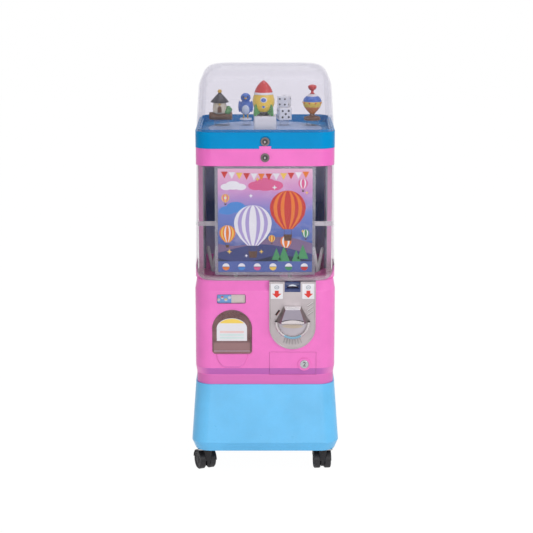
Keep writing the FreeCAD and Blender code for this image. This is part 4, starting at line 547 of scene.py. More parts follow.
# Poster with balloons over hills
def sky_material(low, high):
    """Dusk sky between two heights in millimetres, with thin cloud."""
    made, tree, shader = new_material("poster_sky")
    stops = ((0.0, (30, 40, 84)), (0.3, (70, 96, 170)), (0.58, (112, 130, 204)),
             (0.8, (214, 150, 206)), (1.0, (242, 186, 214)))
    sky = banded(tree, [((low + (high - low) * share) * MM, tone) for share, tone in stops])
    cloud = ranged(tree, noise(tree, 16.0, 5.0, 0.6, (1, 1, 2)), 0.0, 0.35, 0.5, 0.75)
    fill(tree, shader, {"Base Color": blended(tree, cloud, sky, colour((232, 214, 236))),
                        "Roughness": ranged(tree, noise(tree, 90.0), 0.3, 0.42)})
    return made


def balloon(sheet, cx, cz, radius, y, tones, basket):
    """Balloon of upright gores over a small basket."""
    low = cz - radius * 1.18
    for i, tone in enumerate(tones):
        half = radius * (1.0 - i / len(tones))
        left = [(cx - half * 0.93, cz - radius * 0.38), (cx - half * 0.68, cz - radius * 0.78),
                (cx - half * 0.28, low)]
        right = [(2 * cx - x, z) for x, z in reversed(left)]
        sheet.flat(ellipse(cx, cz, half, radius, 24, 0, 180) + left + right, y - 0.02 * i, tone)
    brim = low - radius * 0.3
    for side in (-1, 1):
        x = cx + side * radius * 0.2
        sheet.pane(x - 0.5, x + 0.5, brim, low, y, basket)
    half = radius * 0.24
    bottom = brim - half * 1.5
    sides = [(cx + half, brim), (cx + half * 0.8, bottom), (cx - half * 0.8, bottom), (cx - half, brim)]
    sheet.flat(sides, y - 0.05, basket)


def capsule(sheet, cx, cz, radius, y, low_tone, high_tone):
    for tone, start in ((low_tone, 180), (high_tone, 0)):
        sheet.flat(ellipse(cx, cz, radius, radius, 24, start, start + 180), y, tone)


def star(cx, cz, radius, inner=0.4, count=4):
    points = []
    for i in range(2 * count):
        reach = radius if i % 2 == 0 else radius * inner
        angle = pi * i / count + pi / 2
        points.append((cx + reach * cos(angle), cz + reach * sin(angle)))
    return points


def print_capsules(sheet, at, y, art):
    """Row of plain capsules along the poster's foot."""
    tones = (art.orange, art.blue, art.rose, art.gold, art.green, art.red)
    radius = 9.5
    for i, tone in enumerate(tones):
        cx, cz = at((i + 0.5) / len(tones), 0.052)
        capsule(sheet, cx, cz, radius, y.capsules, tone, art.white)
        seam = rounded(cx - radius, cx + radius, cz - 0.6, cz + 0.6, 0.3)
        sheet.flat(seam, y.seams, art.navy)


def print_bunting(sheet, x0, x1, top, y, art):
    """String of flags that sags under the poster's upper edge."""
    tones = (art.red, art.white, art.gold, art.red, art.white, art.orange)
    count, margin, drop, sag, half = 12, 8, 7, 6, (x1 - x0) / 28
    for i in range(count):
        share = (i + 0.5) / count
        cx = x0 + margin + (x1 - x0 - 2 * margin) * share
        cz = top - drop - sag * sin(pi * share)
        flag = [(cx - half, cz), (cx, cz - half * 2.0), (cx + half, cz)]
        sheet.flat(flag, y.flags, tones[i % len(tones)])


def print_poster():
    (x0, card_y, z0), (x1, _, z1) = box_mm("poster")
    width, height = x1 - x0, z1 - z0
    edge = 0.5
    ahead = {"sky": 0.0, "clouds": 0.05, "far_hill": 0.09, "hill": 0.12, "big_balloon": 0.15,
             "balloons": 0.3, "near_hill": 0.45, "trees": 0.5, "stars": 0.55, "flags": 0.6, "band": 0.62,
             "capsules": 0.66, "seams": 0.7}
    y = SimpleNamespace(**{layer: card_y - PRINT_GAP - gap for layer, gap in ahead.items()})
    art = palette(ink, "poster", white=(240, 238, 244), lilac=(176, 160, 214), violet=(128, 104, 140),
                  dusk=(58, 66, 122), navy=(22, 32, 68), red=(206, 52, 48), orange=(238, 128, 44),
                  gold=(246, 204, 92), green=(70, 150, 96), rose=(226, 96, 150), blue=(74, 140, 214),
                  brown=(92, 62, 48), band=(84, 104, 172))
    sheet = Builder()

    def at(u, v):
        return x0 + width * u, z0 + height * v

    def hill(base, swell, length, shift, hill_y, tone):
        """Rolling ground from side to side, down to the foot of the card."""
        left, right, low = x0 + edge, x1 - edge, z0 + edge
        steps = 24
        crest = []
        for i in range(steps + 1):
            x = left + (right - left) * i / steps
            crest.append((x, z0 + height * base + swell * sin((x + shift) / length)))
        sheet.flat([(left, low), (right, low)] + crest[::-1], hill_y, tone)

    sheet.flat(rounded(x0, x1, z0, z1, 2.0), y.sky, sky_material(z0, z1))
    banks = ((art.blue, ((0.1, 0.6, 0.08), (0.19, 0.63, 0.1), (0.28, 0.603, 0.085), (0.06, 0.59, 0.05))),
             (art.white, ((0.16, 0.84, 0.08), (0.24, 0.825, 0.06), (0.09, 0.825, 0.06))),
             (art.rose, ((0.5, 0.85, 0.12), (0.4, 0.835, 0.08), (0.6, 0.838, 0.09))))
    for tone, puffs in banks:
        for i, (u, v, r) in enumerate(puffs):
            puff = ellipse(*at(u, v), width * r, width * r * 0.58)
            sheet.flat(puff, y.clouds - 0.01 * i, tone)
    hill(0.3, 12, 40, 20, y.far_hill, art.violet)
    hill(0.22, 14, 52, 90, y.hill, art.dusk)
    stripes = (art.white, art.lilac, art.white, art.lilac, art.white)
    balloon(sheet, *at(0.37, 0.47), width * 0.2, y.big_balloon, stripes, art.brown)
    balloons = (
        (0.74, 0.62, 0.19, (art.red, art.orange, art.red, art.orange, art.red)),
        (0.1, 0.38, 0.085, (art.orange, art.gold, art.orange, art.white, art.orange)),
        (0.72, 0.3, 0.06, (art.orange, art.white, art.orange)),
        (0.57, 0.33, 0.035, (art.gold, art.red, art.gold)),
        (0.93, 0.38, 0.04, (art.green, art.white, art.green)),
        (0.08, 0.72, 0.042, (art.gold, art.rose, art.gold)),
        (0.9, 0.86, 0.05, (art.rose, art.white, art.rose)))
    for u, v, r, stripes in balloons:
        balloon(sheet, *at(u, v), width * r, y.balloons, stripes, art.brown)
    hill(0.13, 9, 34, 10, y.near_hill, art.navy)
    for u, v, r in ((0.62, 0.12, 0.05), (0.7, 0.1, 0.065), (0.9, 0.13, 0.06), (0.83, 0.1, 0.05)):
        cx, cz = at(u, v)
        half = width * r
        fir = [(cx - half, cz), (cx + half, cz), (cx, cz + half * 2.6)]
        sheet.flat(fir, y.trees, art.green)
    stars = ((0.08, 0.72), (0.42, 0.9), (0.6, 0.82), (0.94, 0.77), (0.35, 0.74), (0.12, 0.2), (0.3, 0.16),
             (0.46, 0.2), (0.56, 0.94), (0.9, 0.4))
    for i, place in enumerate(stars):
        tone = art.gold if i % 2 else art.white
        sheet.flat(star(*at(*place), 5.0 + i % 3), y.stars, tone)
    sheet.pane(x0 + edge, x1 - edge, z0 + edge, z0 + height * 0.105, y.band, art.band)
    print_capsules(sheet, at, y, art)
    print_bunting(sheet, x0, x1, z1, y, art)
    sheet.shape("poster_print")


print_poster()


# Labels and small prints on the front
HUB_X, _, HUB_Z = centre_mm("knob_shaft")
PLATE_RIB_FACE, PLATE_GROOVE = -166.56, -165.4
DOOR_X, DOOR_HALF, DOOR_LOW, DOOR_SPRING, DOOR_CROWN = -88.0, 52.5, 335.0, 409.0, 455.0
COIN_LOCK_X, COIN_LOCK_Z = 104, 307

label = palette(ink, "label", red=(212, 44, 36), white=(226, 224, 229), grey=(150, 160, 170),
                blue=(108, 170, 228), cream=(226, 214, 206), gold=(240, 206, 92), rose=(232, 196, 196),
                mint=(206, 222, 222), black=(32, 30, 34), rust=(150, 46, 40), pale=(226, 230, 238),
                cyan=(126, 174, 196))


def arrow(cx, cz, width, height):
    half = width / 2
    stem = half * 0.42
    top = cz + height / 2
    neck = cz + height * 0.08
    return [(cx - stem, neck), (cx - half, neck), (cx, cz - height / 2), (cx + half, neck),
            (cx + stem, neck), (cx + stem, top), (cx - stem, top)]


def label_coin_plate():
    """White labels with a coin and an arrow, and below the left one painted shade in the coin return slot,
    edged with a red strip.
    """
    frame_height, gap = 1.2, 0.08
    y = box_mm("coin_plate")[0][1] + frame_height - gap
    low, high, coin_z, arrow_z = 485.5, 526.5, 516.5, 498.0
    sheet = Builder()
    for x0, x1 in ((14.6, 46.5), (97.5, 129.4)):
        cx = (x0 + x1) / 2
        sheet.flat(rounded(x0, x1, low, high, 1.5), y, label.white)
        sheet.flat(ellipse(cx, coin_z, 6.4, 5.2), y - LAYER_GAP, label.grey)
        sheet.flat(ellipse(cx, coin_z, 4.2, 3.4), y - 2 * LAYER_GAP, label.white)
        mark = rounded(cx - 2.8, cx + 2.8, coin_z - 0.9, coin_z + 0.9, 0.8)
        sheet.flat(mark, y - 3 * LAYER_GAP, label.grey)
        sheet.flat(arrow(cx, arrow_z, 24.5, 19.5), y - LAYER_GAP, label.red)
    slot_x, slot_z, slot_turn, slot_half, slot_y = 33, 448, 55, 8.3, -163.7
    # Painted shade: black on the shallow slot's floor; the rust strip along one edge is red trim.
    for across, tone, ahead in (((-2.6, 2.6), label.black, 0.0), ((-2.6, -1.2), label.rust, 0.05)):
        slot = slanted(slot_x, slot_z, slot_turn, (-slot_half, slot_half), across)
        sheet.flat(slot, slot_y - ahead, tone)
    sheet.shape("coin_labels")


def coin_seat_highlight():
    """Painted highlight: a pale crescent on the scooped face of the coin seat."""
    (x0, front, _), (x1, _, z1) = box_mm("coin_slot_insert")
    cx, axis = (x0 + x1) / 2, z1 - 3
    scoop, half_width, drop = 14.0, 11, 8.2
    sheet = Builder()
    rows = []
    for share in spread(16):
        swell = 1 - share ** 2
        middle = axis - drop + 2.4 * swell
        half = 0.5 + 1.4 * swell
        rows.append([(cx + half_width * share, front + sqrt(scoop ** 2 - (axis - z) ** 2) - 0.12, z)
                     for z in (middle + half, middle - half)])
    sheet.strip(rows, label.pale)
    sheet.shape("coin_seat_highlight")


def print_price_card():
    """Blue and cream halves with a row of plain capsules on the blue one."""
    margin, radius = 3, 4.0
    (x0, y, z0), (x1, _, z1) = box_mm("price_card")
    x0, x1, z0, z1 = x0 + margin, x1 - margin, z0 + margin, z1 - margin
    y -= PRINT_GAP
    middle = (x0 + x1) / 2
    sheet = Builder()
    sheet.pane(x0, middle, z0, z1, y, label.blue)
    sheet.pane(middle, x1, z0, z1, y, label.cream)
    tones = (label.cream, label.red, label.gold, label.white)
    for i, tone in enumerate(tones):
        cx = x0 + (middle - x0) * (i + 0.5) / len(tones)
        cz = (z0 + z1) / 2 + (3 if i % 2 else -3)
        capsule(sheet, cx, cz, radius, y - LAYER_GAP, label.white, tone)
    sheet.shape("price_print")


def rim_price_card():
    """Painted shade: a thin dark line round the price lens, along the edge of its recess."""
    (x0, y, z0), (x1, _, z1) = box_mm("price_lens")
    sheet = Builder()
    lines = []
    for inset, corner in ((3.1, 3.9), (4.4, 2.6)):
        outline = rounded(x0 + inset, x1 - inset, z0 + inset, z1 - inset, corner)
        lines.append([(u, y - PRINT_GAP, v) for u, v in outline])
    # Painted shade along the recess edge.
    sheet.strip(lines, ink("price_rim_shade", (122, 84, 118)), True)
    sheet.shape("price_rim_shade")


def rim_door():
    """Rounded bead along the edge of the smoked door, with a pale strip of painted light at its foot."""
    inset, half_width, height, foot, steps = 2.2, 2.0, 1.3, DOOR_LOW + 6.0, 8
    y = box_mm("capsule_door")[0][1]
    gloss = clear("smoke_bead_plastic", (200, 160, 156), 0.6, (150, 118, 120), 0.03, 0.6)
    half, rise = DOOR_HALF - inset, DOOR_CROWN - DOOR_SPRING - inset
    arch = ellipse(DOOR_X, DOOR_SPRING, half, rise, 36, 180, 0)
    path = [(DOOR_X - half, foot)] + arch + [(DOOR_X + half, foot)]
    rows = []
    for i, (x, z) in enumerate(path):
        before, after = path[max(i - 1, 0)], path[min(i + 1, len(path) - 1)]
        run = (Vector(after) - Vector(before)).normalized() * half_width
        angles = (pi * k / steps for k in range(steps + 1))
        rows.append([(x + run.y * cos(a), y + 0.05 - height * sin(a), z - run.x * cos(a))
                     for a in angles])
    sheet = Builder()
    sheet.strip(rows, gloss)
    # Painted light: a pale strip along the door's foot.
    lit_strip = rounded(DOOR_X - DOOR_HALF + 5.0, DOOR_X + DOOR_HALF - 5.0, foot, foot + 2.4, 1.0)
    sheet.flat(lit_strip, y - 0.08, ink("door_sill_painted_highlight", (186, 160, 172), 0.25))
    sheet.shape("door_rim", "capsule_flap", "smoke_plastic", True)


def door_card():
    """Arch-topped bare card on the smoked door, with a plain coloured head."""
    rim_height, gap = 1.5, 0.1
    y = box_mm("capsule_door")[0][1] + rim_height - gap
    half, low, spring, rise = 40.0, 369.5, 404.0, 27.0
    sheet = Builder()
    arch = [(DOOR_X - half, low), (DOOR_X + half, low)] + ellipse(DOOR_X, spring, half, rise, 32, 0, 180)
    sheet.flat(arch, y, label.white)
    sheet.flat(ellipse(DOOR_X, spring, half * 0.96, rise - 1.4, 24, 32, 148), y - LAYER_GAP, label.gold)
    reach = half * 0.8
    for z, tone in ((394.0, label.rose), (386.0, label.mint), (378.0, label.mint)):
        sheet.flat(rounded(DOOR_X - reach, DOOR_X + reach, z - 2.6, z + 2.6, 2.0), y - LAYER_GAP, tone)
    sheet.shape("door_card", "capsule_flap")


def badge_number():
    """Raised numeral on the head of the coin lock."""
    data = bpy.data.curves.new("numeral", "FONT")
    data.body = "2"
    data.size = 17.5 * MM
    data.extrude = 0.2 * MM
    data.align_x = "CENTER"
    data.align_y = "CENTER"
    text = link("numeral", data)
    bpy.context.view_layer.update()
    mesh = bpy.data.meshes.new_from_object(text.evaluated_get(bpy.context.evaluated_depsgraph_get()))
    bpy.data.objects.remove(text)
    place = Vector((COIN_LOCK_X, box_mm("coin_lock_plug")[0][1] - 0.1, COIN_LOCK_Z)) * MM
    mesh.transform(Matrix.Translation(place) @ Matrix.Rotation(radians(90), 4, "X"))
    mesh.materials.clear()
    mesh.materials.append(label.black)
    piece = link("lock_numeral", mesh)
    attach(piece, "coin_lock")


def mark_locks():
    """Dark ring of painted shade for the key groove, round a bright spot of painted highlight, on the plug
    of each cam lock.
    """
    groove = ink("key_groove_painted_shade", (30, 24, 28), 0.4)
    glint = ink("key_pin_painted_highlight", (166, 158, 162), 0.3)
    for lock in ("display_lock", "frame_lock"):
        cx, _, cz = centre_mm(lock + "_barrel")
        y = box_mm(lock + "_plug")[0][1]
        sheet = Builder()
        # Painted shade in the groove, then a painted highlight just off the centre.
        sheet.flat(ellipse(cx, cz, 6.6, 6.6), y - 0.05, groove)
        sheet.flat(ellipse(cx - 0.8, cz - 0.6, 2.3, 3.2, 20), y - 0.1, glint)
        sheet.shape(lock + "_mark", lock)


def rib_shades():
    """Painted shade as dark lines in the grooves between the cast ribs of the coin plate, and painted
    highlight as pale ones on the side ribs.
    """
    shade = ink("rib_shade", (146, 138, 140))
    light = ink("rib_highlight", (212, 206, 208))
    sheet = Builder()
    for i in range(-3, 4):
        line = slanted(HUB_X, HUB_Z, -90 + 7.5 * i, (49.0, 65.0), (-1.1, 1.1))
        sheet.flat(line, PLATE_GROOVE, shade)
    for i in range(3):
        for across, tone, y in (((-3.4, -1.4), shade, PLATE_GROOVE), ((-1.2, 1.2), light, PLATE_RIB_FACE)):
            sheet.flat(slanted(HUB_X + 38, HUB_Z + 16 + 12 * i, 35, (0.4, 18.6), across), y, tone)
    sheet.shape("rib_shades")


# Knob and fingers, finer than their CAD forms
KNOB_BACK, KNOB_FLOOR, KNOB_FACE, KNOB_TIP = -167.3, -173.3, -178.3, -207.8
BEAD_OUTER, BEAD_INNER, BEAD_HEIGHT = 44.2, 41.0, 2.4


def swept(cx, cz, profile, start, end, steps):
    """Rows of a profile of (radius, y) points, turned between two angles about a level axis."""
    rows = []
    for i in range(steps + 1):
        turn = radians(start + (end - start) * i / steps)
        rows.append([(cx + r * cos(turn), y, cz + r * sin(turn)) for r, y in profile])
    return rows


def finish_knob():
    """Half-hexagon grip with a lip, over the beaded lower half of the flange; painted highlight on its top,
    painted shade on its sides and painted reflection on its front face.
    """
    painted_highlight_metal = surface("knob_top_painted_highlight", (246, 244, 246), 0.3, 0.4, drift=0.04, grain=1400.0,
                        bump=0.05, wear=0.2)
    painted_shade_metal = surface("knob_side_painted_shade", (122, 112, 111), 0.34, 0.6, drift=0.08, grain=1200.0,
                         wear=0.3)
    painted_reflection_metal = surface("knob_face_painted_reflection", (150, 142, 156), 0.42, 0.3, drift=0.1, grain=1200.0,
                         wear=0.2)
    dish_metal = surface("knob_dish_metal", (188, 180, 188), 0.45, 0.2, drift=0.06, grain=1200.0,
                         bump=0.04, wear=0.1)
    sheet = Builder()
    grip = []
    for y, low_half, low, top_half, top, radius in ((KNOB_BACK, 45.6, -3.0, 22.5, 40.0, 3.0),
                                                    (KNOB_TIP + 4, 33.5, 0.0, 20.4, 42.2, 3.0),
                                                    (KNOB_TIP, 31.5, 1.6, 19.0, 40.0, 2.4)):
        corners = [(-low_half, low), (low_half, low), (top_half, top), (-top_half, top)]
        grip.append([(HUB_X + u, y, HUB_Z + v) for u, v in soft_outline(corners, radius)])
    for a, b in zip(grip, grip[1:]):
        for i in range(len(a)):
            k = (i + 1) % len(a)
            run = Vector((a[k][0] - a[i][0], a[k][2] - a[i][2]))
            lift = -run.x / max(run.length, 1e-9)
            # Faces that look up get the painted highlight, those that look aside the painted shade.
            made = painted_highlight_metal if lift > 0.8 else painted_shade_metal if lift > -0.6 else knob_cast
            sheet.face([a[i], a[k], b[k], b[i]], made)
    sheet.face(grip[-1], painted_reflection_metal)
    sheet.face(grip[0][::-1], knob_cast)
    # Painted shadow: a dark strip above the lip's arch, where the groove under the grip falls in shade.
    half = 29.0
    arch = [(HUB_X + half * share, HUB_Z + 6.5 + 5.5 * (1 - share ** 2)) for share in spread(20)]
    upper = [(x, z + 3.2 - 1.8 * (1 - abs(x - HUB_X) / half)) for x, z in arch]
    sheet.flat(arch + upper[::-1], KNOB_TIP - 0.06, ink("knob_groove_painted_shadow", (70, 64, 72)))
    lip = arch + [(HUB_X + half + 0.6, HUB_Z + 2.4), (HUB_X - half - 0.6, HUB_Z + 2.4)]
    front, rear = ([(x, y, z) for x, z in lip] for y in (KNOB_TIP - 0.2, KNOB_TIP + 1.0))
    sheet.face(front[::-1], knob_cast)
    sheet.strip([front, rear], knob_cast, True)
    crest = KNOB_FACE - BEAD_HEIGHT
    profile = ((46.6, KNOB_BACK), (46.6, KNOB_FACE), (BEAD_OUTER, crest), (BEAD_INNER, crest),
               (38.6, KNOB_FACE), (38.6, KNOB_FLOOR))
    rows = swept(HUB_X, HUB_Z, profile, 180, 360, 48)
    sheet.strip(rows, knob_cast)
    sheet.face([row[-1] for row in rows], dish_metal)
    sheet.face([row[0] for row in rows][::-1], knob_cast)
    piece = sheet.shape("knob_finish", "coin_drive", "satin_metal", True)
    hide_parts("knob")


def label_knob():
    """Cyan arc over the lower part of the knob's bead, and a tan patch of painted shade in its dish, just
    below the grip.
    """
    cx, _, cz = centre_mm("knob")
    crest = KNOB_FACE - BEAD_HEIGHT - PRINT_GAP
    profile = ((39.8, KNOB_FACE - 1.3), (BEAD_INNER, crest), (BEAD_OUTER, crest), (45.8, KNOB_FACE - 0.9))
    sheet = Builder()
    sheet.strip(swept(cx, cz, profile, 239, 301, 24), label.cyan)
    # Painted shade: the tan patch in the dish below the grip.
    patch = ink("knob_painted_shade", (202, 186, 168))
    sheet.flat(ellipse(cx, cz - 12.5, 27.0, 5.6), KNOB_FLOOR - PRINT_GAP, patch)
    sheet.shape("knob_arc_label", "coin_drive")


def finish_fingers():
    """Agitator prongs with rounded tips, in pairs on the capsule wheel."""
    count, first_turn, reach, height, steps = 6, -123, 144, 70, 16
    cx, cy, _ = centre_mm("capsule_wheel")
    hub = Vector((cx, cy, box_mm("capsule_wheel")[1][2]))
    foot = ((0.01, 0.0), (6.0, 0.0), (6.0, 3.4), (5.2, 4.2), (0.01, 4.4))
    prong = ((0.02, 4.0), (0.5, 4.7), (0.93, 4.8), (0.98, 3.6), (1.0, 0.02))
    sheet = Builder()
    for i in range(count):
        turn = radians(360 / count * i + first_turn)
        out = RIGHT * cos(turn) + REAR * sin(turn)
        aside = UP.cross(out)
        root = hub + out * reach
        rows = [ring(root + UP * lift, out * radius, aside * radius, steps) for radius, lift in foot]
        sheet.strip(rows, finger_white, True)
        for lean in (-12.0, 13.0):
            axis = out * lean + UP * height
            across = axis.cross(aside).normalized()
            rows = [ring(root + axis * share, across * radius, aside * radius * 0.8, steps)
                    for share, radius in prong]
            sheet.strip(rows, finger_white, True)
    piece = sheet.shape("finger_finish", "capsule_rotor", "white_plastic", True)
    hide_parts("agitator_fingers")


# Window, hopper trim and painted shade on the flanges
(_, WINDOW_FRONT, WINDOW_LOW), (_, WINDOW_BACK, WINDOW_HIGH) = box_mm("window")
WINDOW_HALF_LOW, WINDOW_HALF_HIGH = 184.8, 181.4
WINDOW_CORNER, WINDOW_WALL = 66.0, 3.0


def window_row(z, half, inset):
    """Plan line of the window from its left end round the front to its right end."""
    reach, radius = half - inset, WINDOW_CORNER - inset
    row = [(-reach, WINDOW_BACK, z)]
    for cx, start in ((-reach + radius, 180), (reach - radius, 270)):
        for u, v in ellipse(cx, WINDOW_FRONT + inset + radius, radius, radius, 28, start, start + 90):
            row.append((u, v, z))
    return row + [(reach, WINDOW_BACK, z)]


def band_shell(name, slot, rows, made):
    """Thin closed strip between an outer and an inner pair of lines, where it has any height."""
    sheet = Builder()
    outer_low, inner_low, outer_high, inner_high = rows
    loops = list(zip(outer_low, outer_high, inner_high, inner_low))
    tall = [loop[1][2] - loop[0][2] > 0.01 for loop in loops]
    sides = ((outer_low, outer_high), (inner_high, inner_low), (inner_low, outer_low),
             (outer_high, inner_high))
    for i in range(len(loops) - 1):
        if tall[i] or tall[i + 1]:
            for side in sides:
                sheet.strip([row[i:i + 2] for row in side], made)
    sheet.face(loops[0], made)
    sheet.face(loops[-1][::-1], made)
    return sheet.shape(name, "cabinet", slot, True)


def finish_window():
    """Clear wrap-round cover, wider at its foot, whose lower corners are rounded over a pink collar."""
    corner, rise = 27.0, 28.0
    collar_low, collar_high, top = [], [], []
    for inset in (0.0, WINDOW_WALL):
        foot = window_row(WINDOW_LOW, WINDOW_HALF_LOW, inset)
        lifted = []
        for x, y, z in foot:
            away = max(corner - (WINDOW_HALF_LOW - inset - abs(x)), 0.0) / corner
            lifted.append((x, y, z + rise * (1 - sqrt(max(1 - away ** 2, 0.0)))))
        collar_low.append(foot)
        collar_high.append(lifted)
        top.append(window_row(WINDOW_HIGH, WINDOW_HALF_HIGH, inset))
    piece = band_shell("window_finish", "clear_plastic", collar_high + top, window_clear)
    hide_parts("window")
    band_shell("window_collar", "pink_plastic", collar_low + collar_high, pink)


def shade_flanges():
    """Painted shade: a dark inner border on the flanges behind the window."""
    margin, gap = 0.5, 0.1
    sheet = Builder()
    for x0, x1 in ((-168.0, -160.2), (160.2, 168.0)):
        sheet.pane(x0, x1, WINDOW_LOW + margin, WINDOW_HIGH - margin, WINDOW_BACK - gap, painted_shade_navy)
    sheet.shape("flange_painted_shade")


def trim_floor():
    """Pink floor of the hopper between the wheel and the foot of the window."""
    gap, hole, far = 3.2, 158.0, 400.0
    front, half, corner = WINDOW_FRONT + gap, WINDOW_HALF_LOW - gap, 63.0
    cx, cy, _ = centre_mm("capsule_wheel")
    z = WINDOW_LOW + 0.4

    def inside(x, y):
        dx = max(abs(x) - (half - corner), 0.0)
        dy = max(front + corner - y, 0.0)
        return y > front and abs(x) < half and hypot(dx, dy) < corner

    rows = []
    steps = 96
    for i in range(steps + 1):
        turn = radians(190 + 160 * i / steps)
        c, s = cos(turn), sin(turn)
        low, high = hole, far
        for _ in range(24):
            middle = (low + high) / 2
            if inside(cx + middle * c, cy + middle * s):
                low = middle
            else:
                high = middle
        rows.append([(cx + r * c, cy + r * s, z) for r in (hole, max(low, hole + 0.1))])
    sheet = Builder()
    sheet.strip(rows, rose)
    sheet.shape("hopper_floor_trim", "cabinet", "pink_plastic")


finish_window()
shade_flanges()
trim_floor()
label_coin_plate()
rib_shades()
coin_seat_highlight()
finish_knob()
label_knob()
finish_fingers()
print_price_card()
rim_price_card()
door_card()
rim_door()
badge_number()
mark_locks()


# Toys for the display stage, each built with its foot at the origin
toy = palette(paint, "toy", tan=(202, 164, 112, 0.5), bark=(120, 84, 56, 0.6), cream=(240, 226, 196),
              green=(86, 158, 84), gold=(224, 178, 70), blue=(70, 116, 200), pale=(222, 232, 244),
              red=(214, 54, 48), yellow=(246, 208, 74), orange=(236, 136, 60), white=(244, 244, 244),
              dark=(36, 34, 38))


def turned(sheet, profile, made, place=(0, 0, 0), steps=32, axes=(RIGHT, REAR, UP)):
    """Surface of revolution through (radius, height) points, with heights along the third axis."""
    first, second, along = axes
    rows = [ring(Vector(place) + along * height, first * radius, second * radius, steps)
            for radius, height in profile]
    sheet.strip(rows, made, True)


def smoothed(points, steps=4):
    """Rounded profile through the given points."""
    path = []
    count = len(points)
    for i in range(count - 1):
        p0, p1, p2 = points[max(i - 1, 0)], points[i], points[i + 1]
        p3 = points[min(i + 2, count - 1)]
        for k in range(steps):
            t = k / steps
            path.append([0.5 * (2 * b + (c - a) * t + (2 * a - 5 * b + 4 * c - d) * t * t
                                + (3 * b - a - 3 * c + d) * t ** 3) for a, b, c, d in zip(p0, p1, p2, p3)])
    path.append(points[-1])
    return [(max(r, 0.01), h) for r, h in path]


def ball(sheet, centre, radii, made, steps=20):
    rx, ry, rz = radii
    rows = []
    for i in range(steps // 2 + 1):
        lift = pi * (i / (steps // 2) - 0.5)
        share = max(cos(lift), 0.001)
        hub = Vector(centre) + UP * rz * sin(lift)
        rows.append(ring(hub, RIGHT * rx * share, REAR * ry * share, steps))
    sheet.strip(rows, made, True)


def lathe(sheet, parts, place=(0, 0, 0)):
    """Rounded surfaces of revolution, each with its paint."""
    for tone, profile in parts:
        turned(sheet, smoothed(profile), tone, place)


def cottage():
    """Round cottage on a log, with a bush beside it."""
    sheet = Builder()
    lying = {"place": (0, 0, 9.6), "steps": 28, "axes": (REAR, UP, RIGHT)}
    log = [(0.01, -25), (8.2, -25), (9.2, -24), (9.6, 0), (9.2, 24), (8.2, 25), (0.01, 25)]
    turned(sheet, log, toy.bark, **lying)
    for end in (-25.2, 25.2):
        turned(sheet, [(0.01, end), (8.0, end)], toy.tan, **lying)
        turned(sheet, [(4.6, end * 1.004), (5.2, end * 1.004)], toy.bark, **lying)
    middle = -2
    lathe(sheet, (
        (toy.cream, [(11, 16), (14.5, 19), (15.5, 30), (13.5, 42), (12, 46)]),
        (toy.dark, [(0.01, 44), (18, 43), (19.5, 45), (12, 55), (5, 63), (1.5, 67)]),
        (toy.gold, [(0.01, 65), (3.6, 66), (4.6, 69.5), (3.2, 73), (0.01, 74)])), (middle, 0, 0))
    door = [(middle - 4.5, 19), (middle + 4.5, 19)] + ellipse(middle, 30, 4.5, 5.0, 12, 0, 180)
    sheet.flat(door, -15.6, toy.bark)
    sheet.flat(ellipse(middle, 39, 2.6, 2.6, 20), -15.0, toy.gold)
    for x, y, z, r in ((15, -4, 21, 7.5), (19, 2, 24, 6.5), (13, 4, 26, 6.5), (17, -2, 29, 5.5)):
        ball(sheet, (x, y, z), (r, r, r), toy.green, 16)
    return sheet


def songbird():
    """Standing bird with a pale breast, folded wings and a short tail."""
    sheet = Builder()
    turned(sheet, [(0.01, 0), (11, 0), (12, 1.5), (11, 3.5), (0.01, 3.5)], toy.pale)
    for side in (-1, 1):
        turned(sheet, [(1.2, 3), (1.2, 14)], toy.gold, (side * 4, 0, 0), 10)
    ball(sheet, (0, 0, 27), (12.5, 12, 16), toy.blue, 28)
    ball(sheet, (0, -3.2, 25), (9.5, 9.8, 13), toy.pale, 28)
    ball(sheet, (0, -1, 47), (9.8, 9.6, 9.6), toy.blue, 28)
    for side in (-1, 1):
        ball(sheet, (side * 11.6, 1, 28), (3, 7, 12), toy.blue)
        ball(sheet, (side * 4.2, -9.0, 49), (1.7, 1.4, 1.9), toy.dark, 12)
    ball(sheet, (0, -11.6, 46), (2.6, 4.2, 2.0), toy.gold, 14)
    ball(sheet, (0, 13, 17), (5, 9, 3), toy.blue, 16)
    return sheet


def rocket():
    """Tubby rocket with a red nose, a yellow body, portholes and green fins."""
    sheet = Builder()
    lathe(sheet, (
        (toy.dark, [(0.01, 0), (9, 0), (12, 5), (11, 10)]),
        (toy.yellow, [(11, 9), (17, 16), (20.5, 28), (20, 40), (17.5, 50)]),
        (toy.red, [(17.4, 53.5), (14, 64), (8, 74), (2.5, 80), (0.01, 81.5)])))
    turned(sheet, smoothed([(18.2, 49), (18.4, 52), (17.6, 54)], 3), toy.white)
    fin = [(11, 6), (24, 0.2), (25, 6), (22.5, 22), (19, 30), (15, 22)]
    thick = 1.8
    for i in range(4):
        angle = radians(45 + 90 * i)
        c, s = cos(angle), sin(angle)
        sides = [[(c * r - s * t, s * r + c * t, h) for r, h in fin] for t in (-thick, thick)]
        sheet.face(sides[0], toy.green)
        sheet.face(sides[1][::-1], toy.green)
        sheet.strip(sides[::-1], toy.green, True)
    for height, radius, out in ((38, 6.5, 20.4), (22, 3.6, 18.6)):
        ball(sheet, (0, -out, height), (radius, 1.6, radius), toy.white)
        ball(sheet, (0, -out - 0.9, height), (radius * 0.72, 1.5, radius * 0.72), toy.blue)
    return sheet


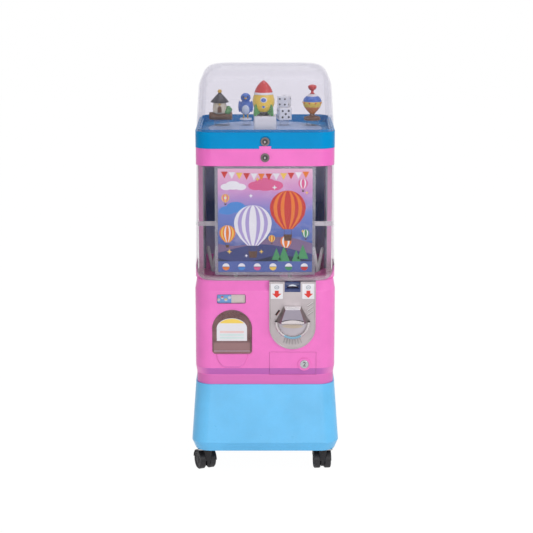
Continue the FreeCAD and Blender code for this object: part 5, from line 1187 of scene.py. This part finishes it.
def dice():
    """Two rounded dice, one on the other."""
    middle, pair, rest, sides = ((0, 0),), ((-1, -1), (1, 1)), ((-1, 1), (1, -1)), ((-1, 0), (1, 0))
    pips = (middle, pair, pair + middle, pair + rest, pair + rest + middle, pair + rest + sides)
    grid, core = spread(10), 0.8
    sheet = Builder()
    for low, half, turn, front, side, top in ((0, 16, 12, 5, 3, 6), (32.1, 14, -21, 4, 2, 1)):
        spin = Matrix.Rotation(radians(turn), 3, "Z")
        centre = UP * (low + half)
        faces = ((-REAR, RIGHT, front), (RIGHT, REAR, side), (REAR, -RIGHT, 7 - front),
                 (-RIGHT, -REAR, 7 - side), (UP, RIGHT, top), (-UP, RIGHT, 7 - top))
        for normal, across, count in faces:
            up = normal.cross(across)
            rows = []
            for u in grid:
                row = []
                for v in grid:
                    p = normal + across * u + up * v
                    q = Vector([max(-core, min(core, c)) for c in p])
                    row.append(centre + spin @ ((q + (p - q).normalized() * (1 - core)) * half))
                rows.append(row)
            sheet.strip(rows, toy.white)
            for u, v in pips[count - 1]:
                hub = normal * 1.004 + (across * u + up * v) * 0.48
                pip = ring(hub, across * 0.17, up * 0.17, 18)
                sheet.face([centre + spin @ (p * half) for p in pip], toy.dark)
    return sheet


def spinning_top():
    """Humming top with bands of colour, a knob and a turned stand."""
    sheet = Builder()
    lathe(sheet, (
        (toy.bark, [(0.01, 0), (17, 0), (18, 2), (17.5, 7), (13, 9), (6, 11), (5.5, 16)]),
        (toy.orange, [(5, 15), (12, 23), (18, 32)]),
        (toy.yellow, [(18, 32), (20.5, 39), (20.5, 45)]),
        (toy.blue, [(20.5, 45), (18.5, 52), (13, 58)]),
        (toy.white, [(13, 58), (9.5, 61), (6, 63.5)]),
        (toy.red, [(6, 63.5), (3.4, 66), (3.2, 71), (7, 74), (9.5, 79), (7.5, 84), (0.01, 86)])))
    count, radius = 9, 20.3
    for i in range(count):
        angle = 2 * pi * (i + 0.25) / count
        stud = (radius * cos(angle), radius * sin(angle), 42)
        ball(sheet, stud, (1.6, 1.6, 2.6), toy.red, 10)
    return sheet


TOYS = (
    ("toy_cottage", cottage, (-121, 90, 926), 1.24, 1.12),
    ("toy_bird", songbird, (-53, 90, 926), 1.4, 1.3),
    ("toy_rocket", rocket, (-4, -89, 960), 1.38, 1.12),
    ("toy_dice", dice, (52, 90, 926), 1.1, 1.1),
    ("toy_top", spinning_top, (128, 90, 926), 1.24, 1.12),
)


def finish_toy(name, build, place, across, up):
    """Grows a toy and sets it on its stand in place of the plain CAD form."""
    sheet = build()
    x, y, z = (c * MM for c in place)
    sheet.points = [(x + u * across, y + v * across, z + w * up) for u, v, w in sheet.points]
    piece = sheet.shape(name, "display_lid", "toy_paint", True)
    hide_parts("display_toys")


for settings in TOYS:
    finish_toy(*settings)
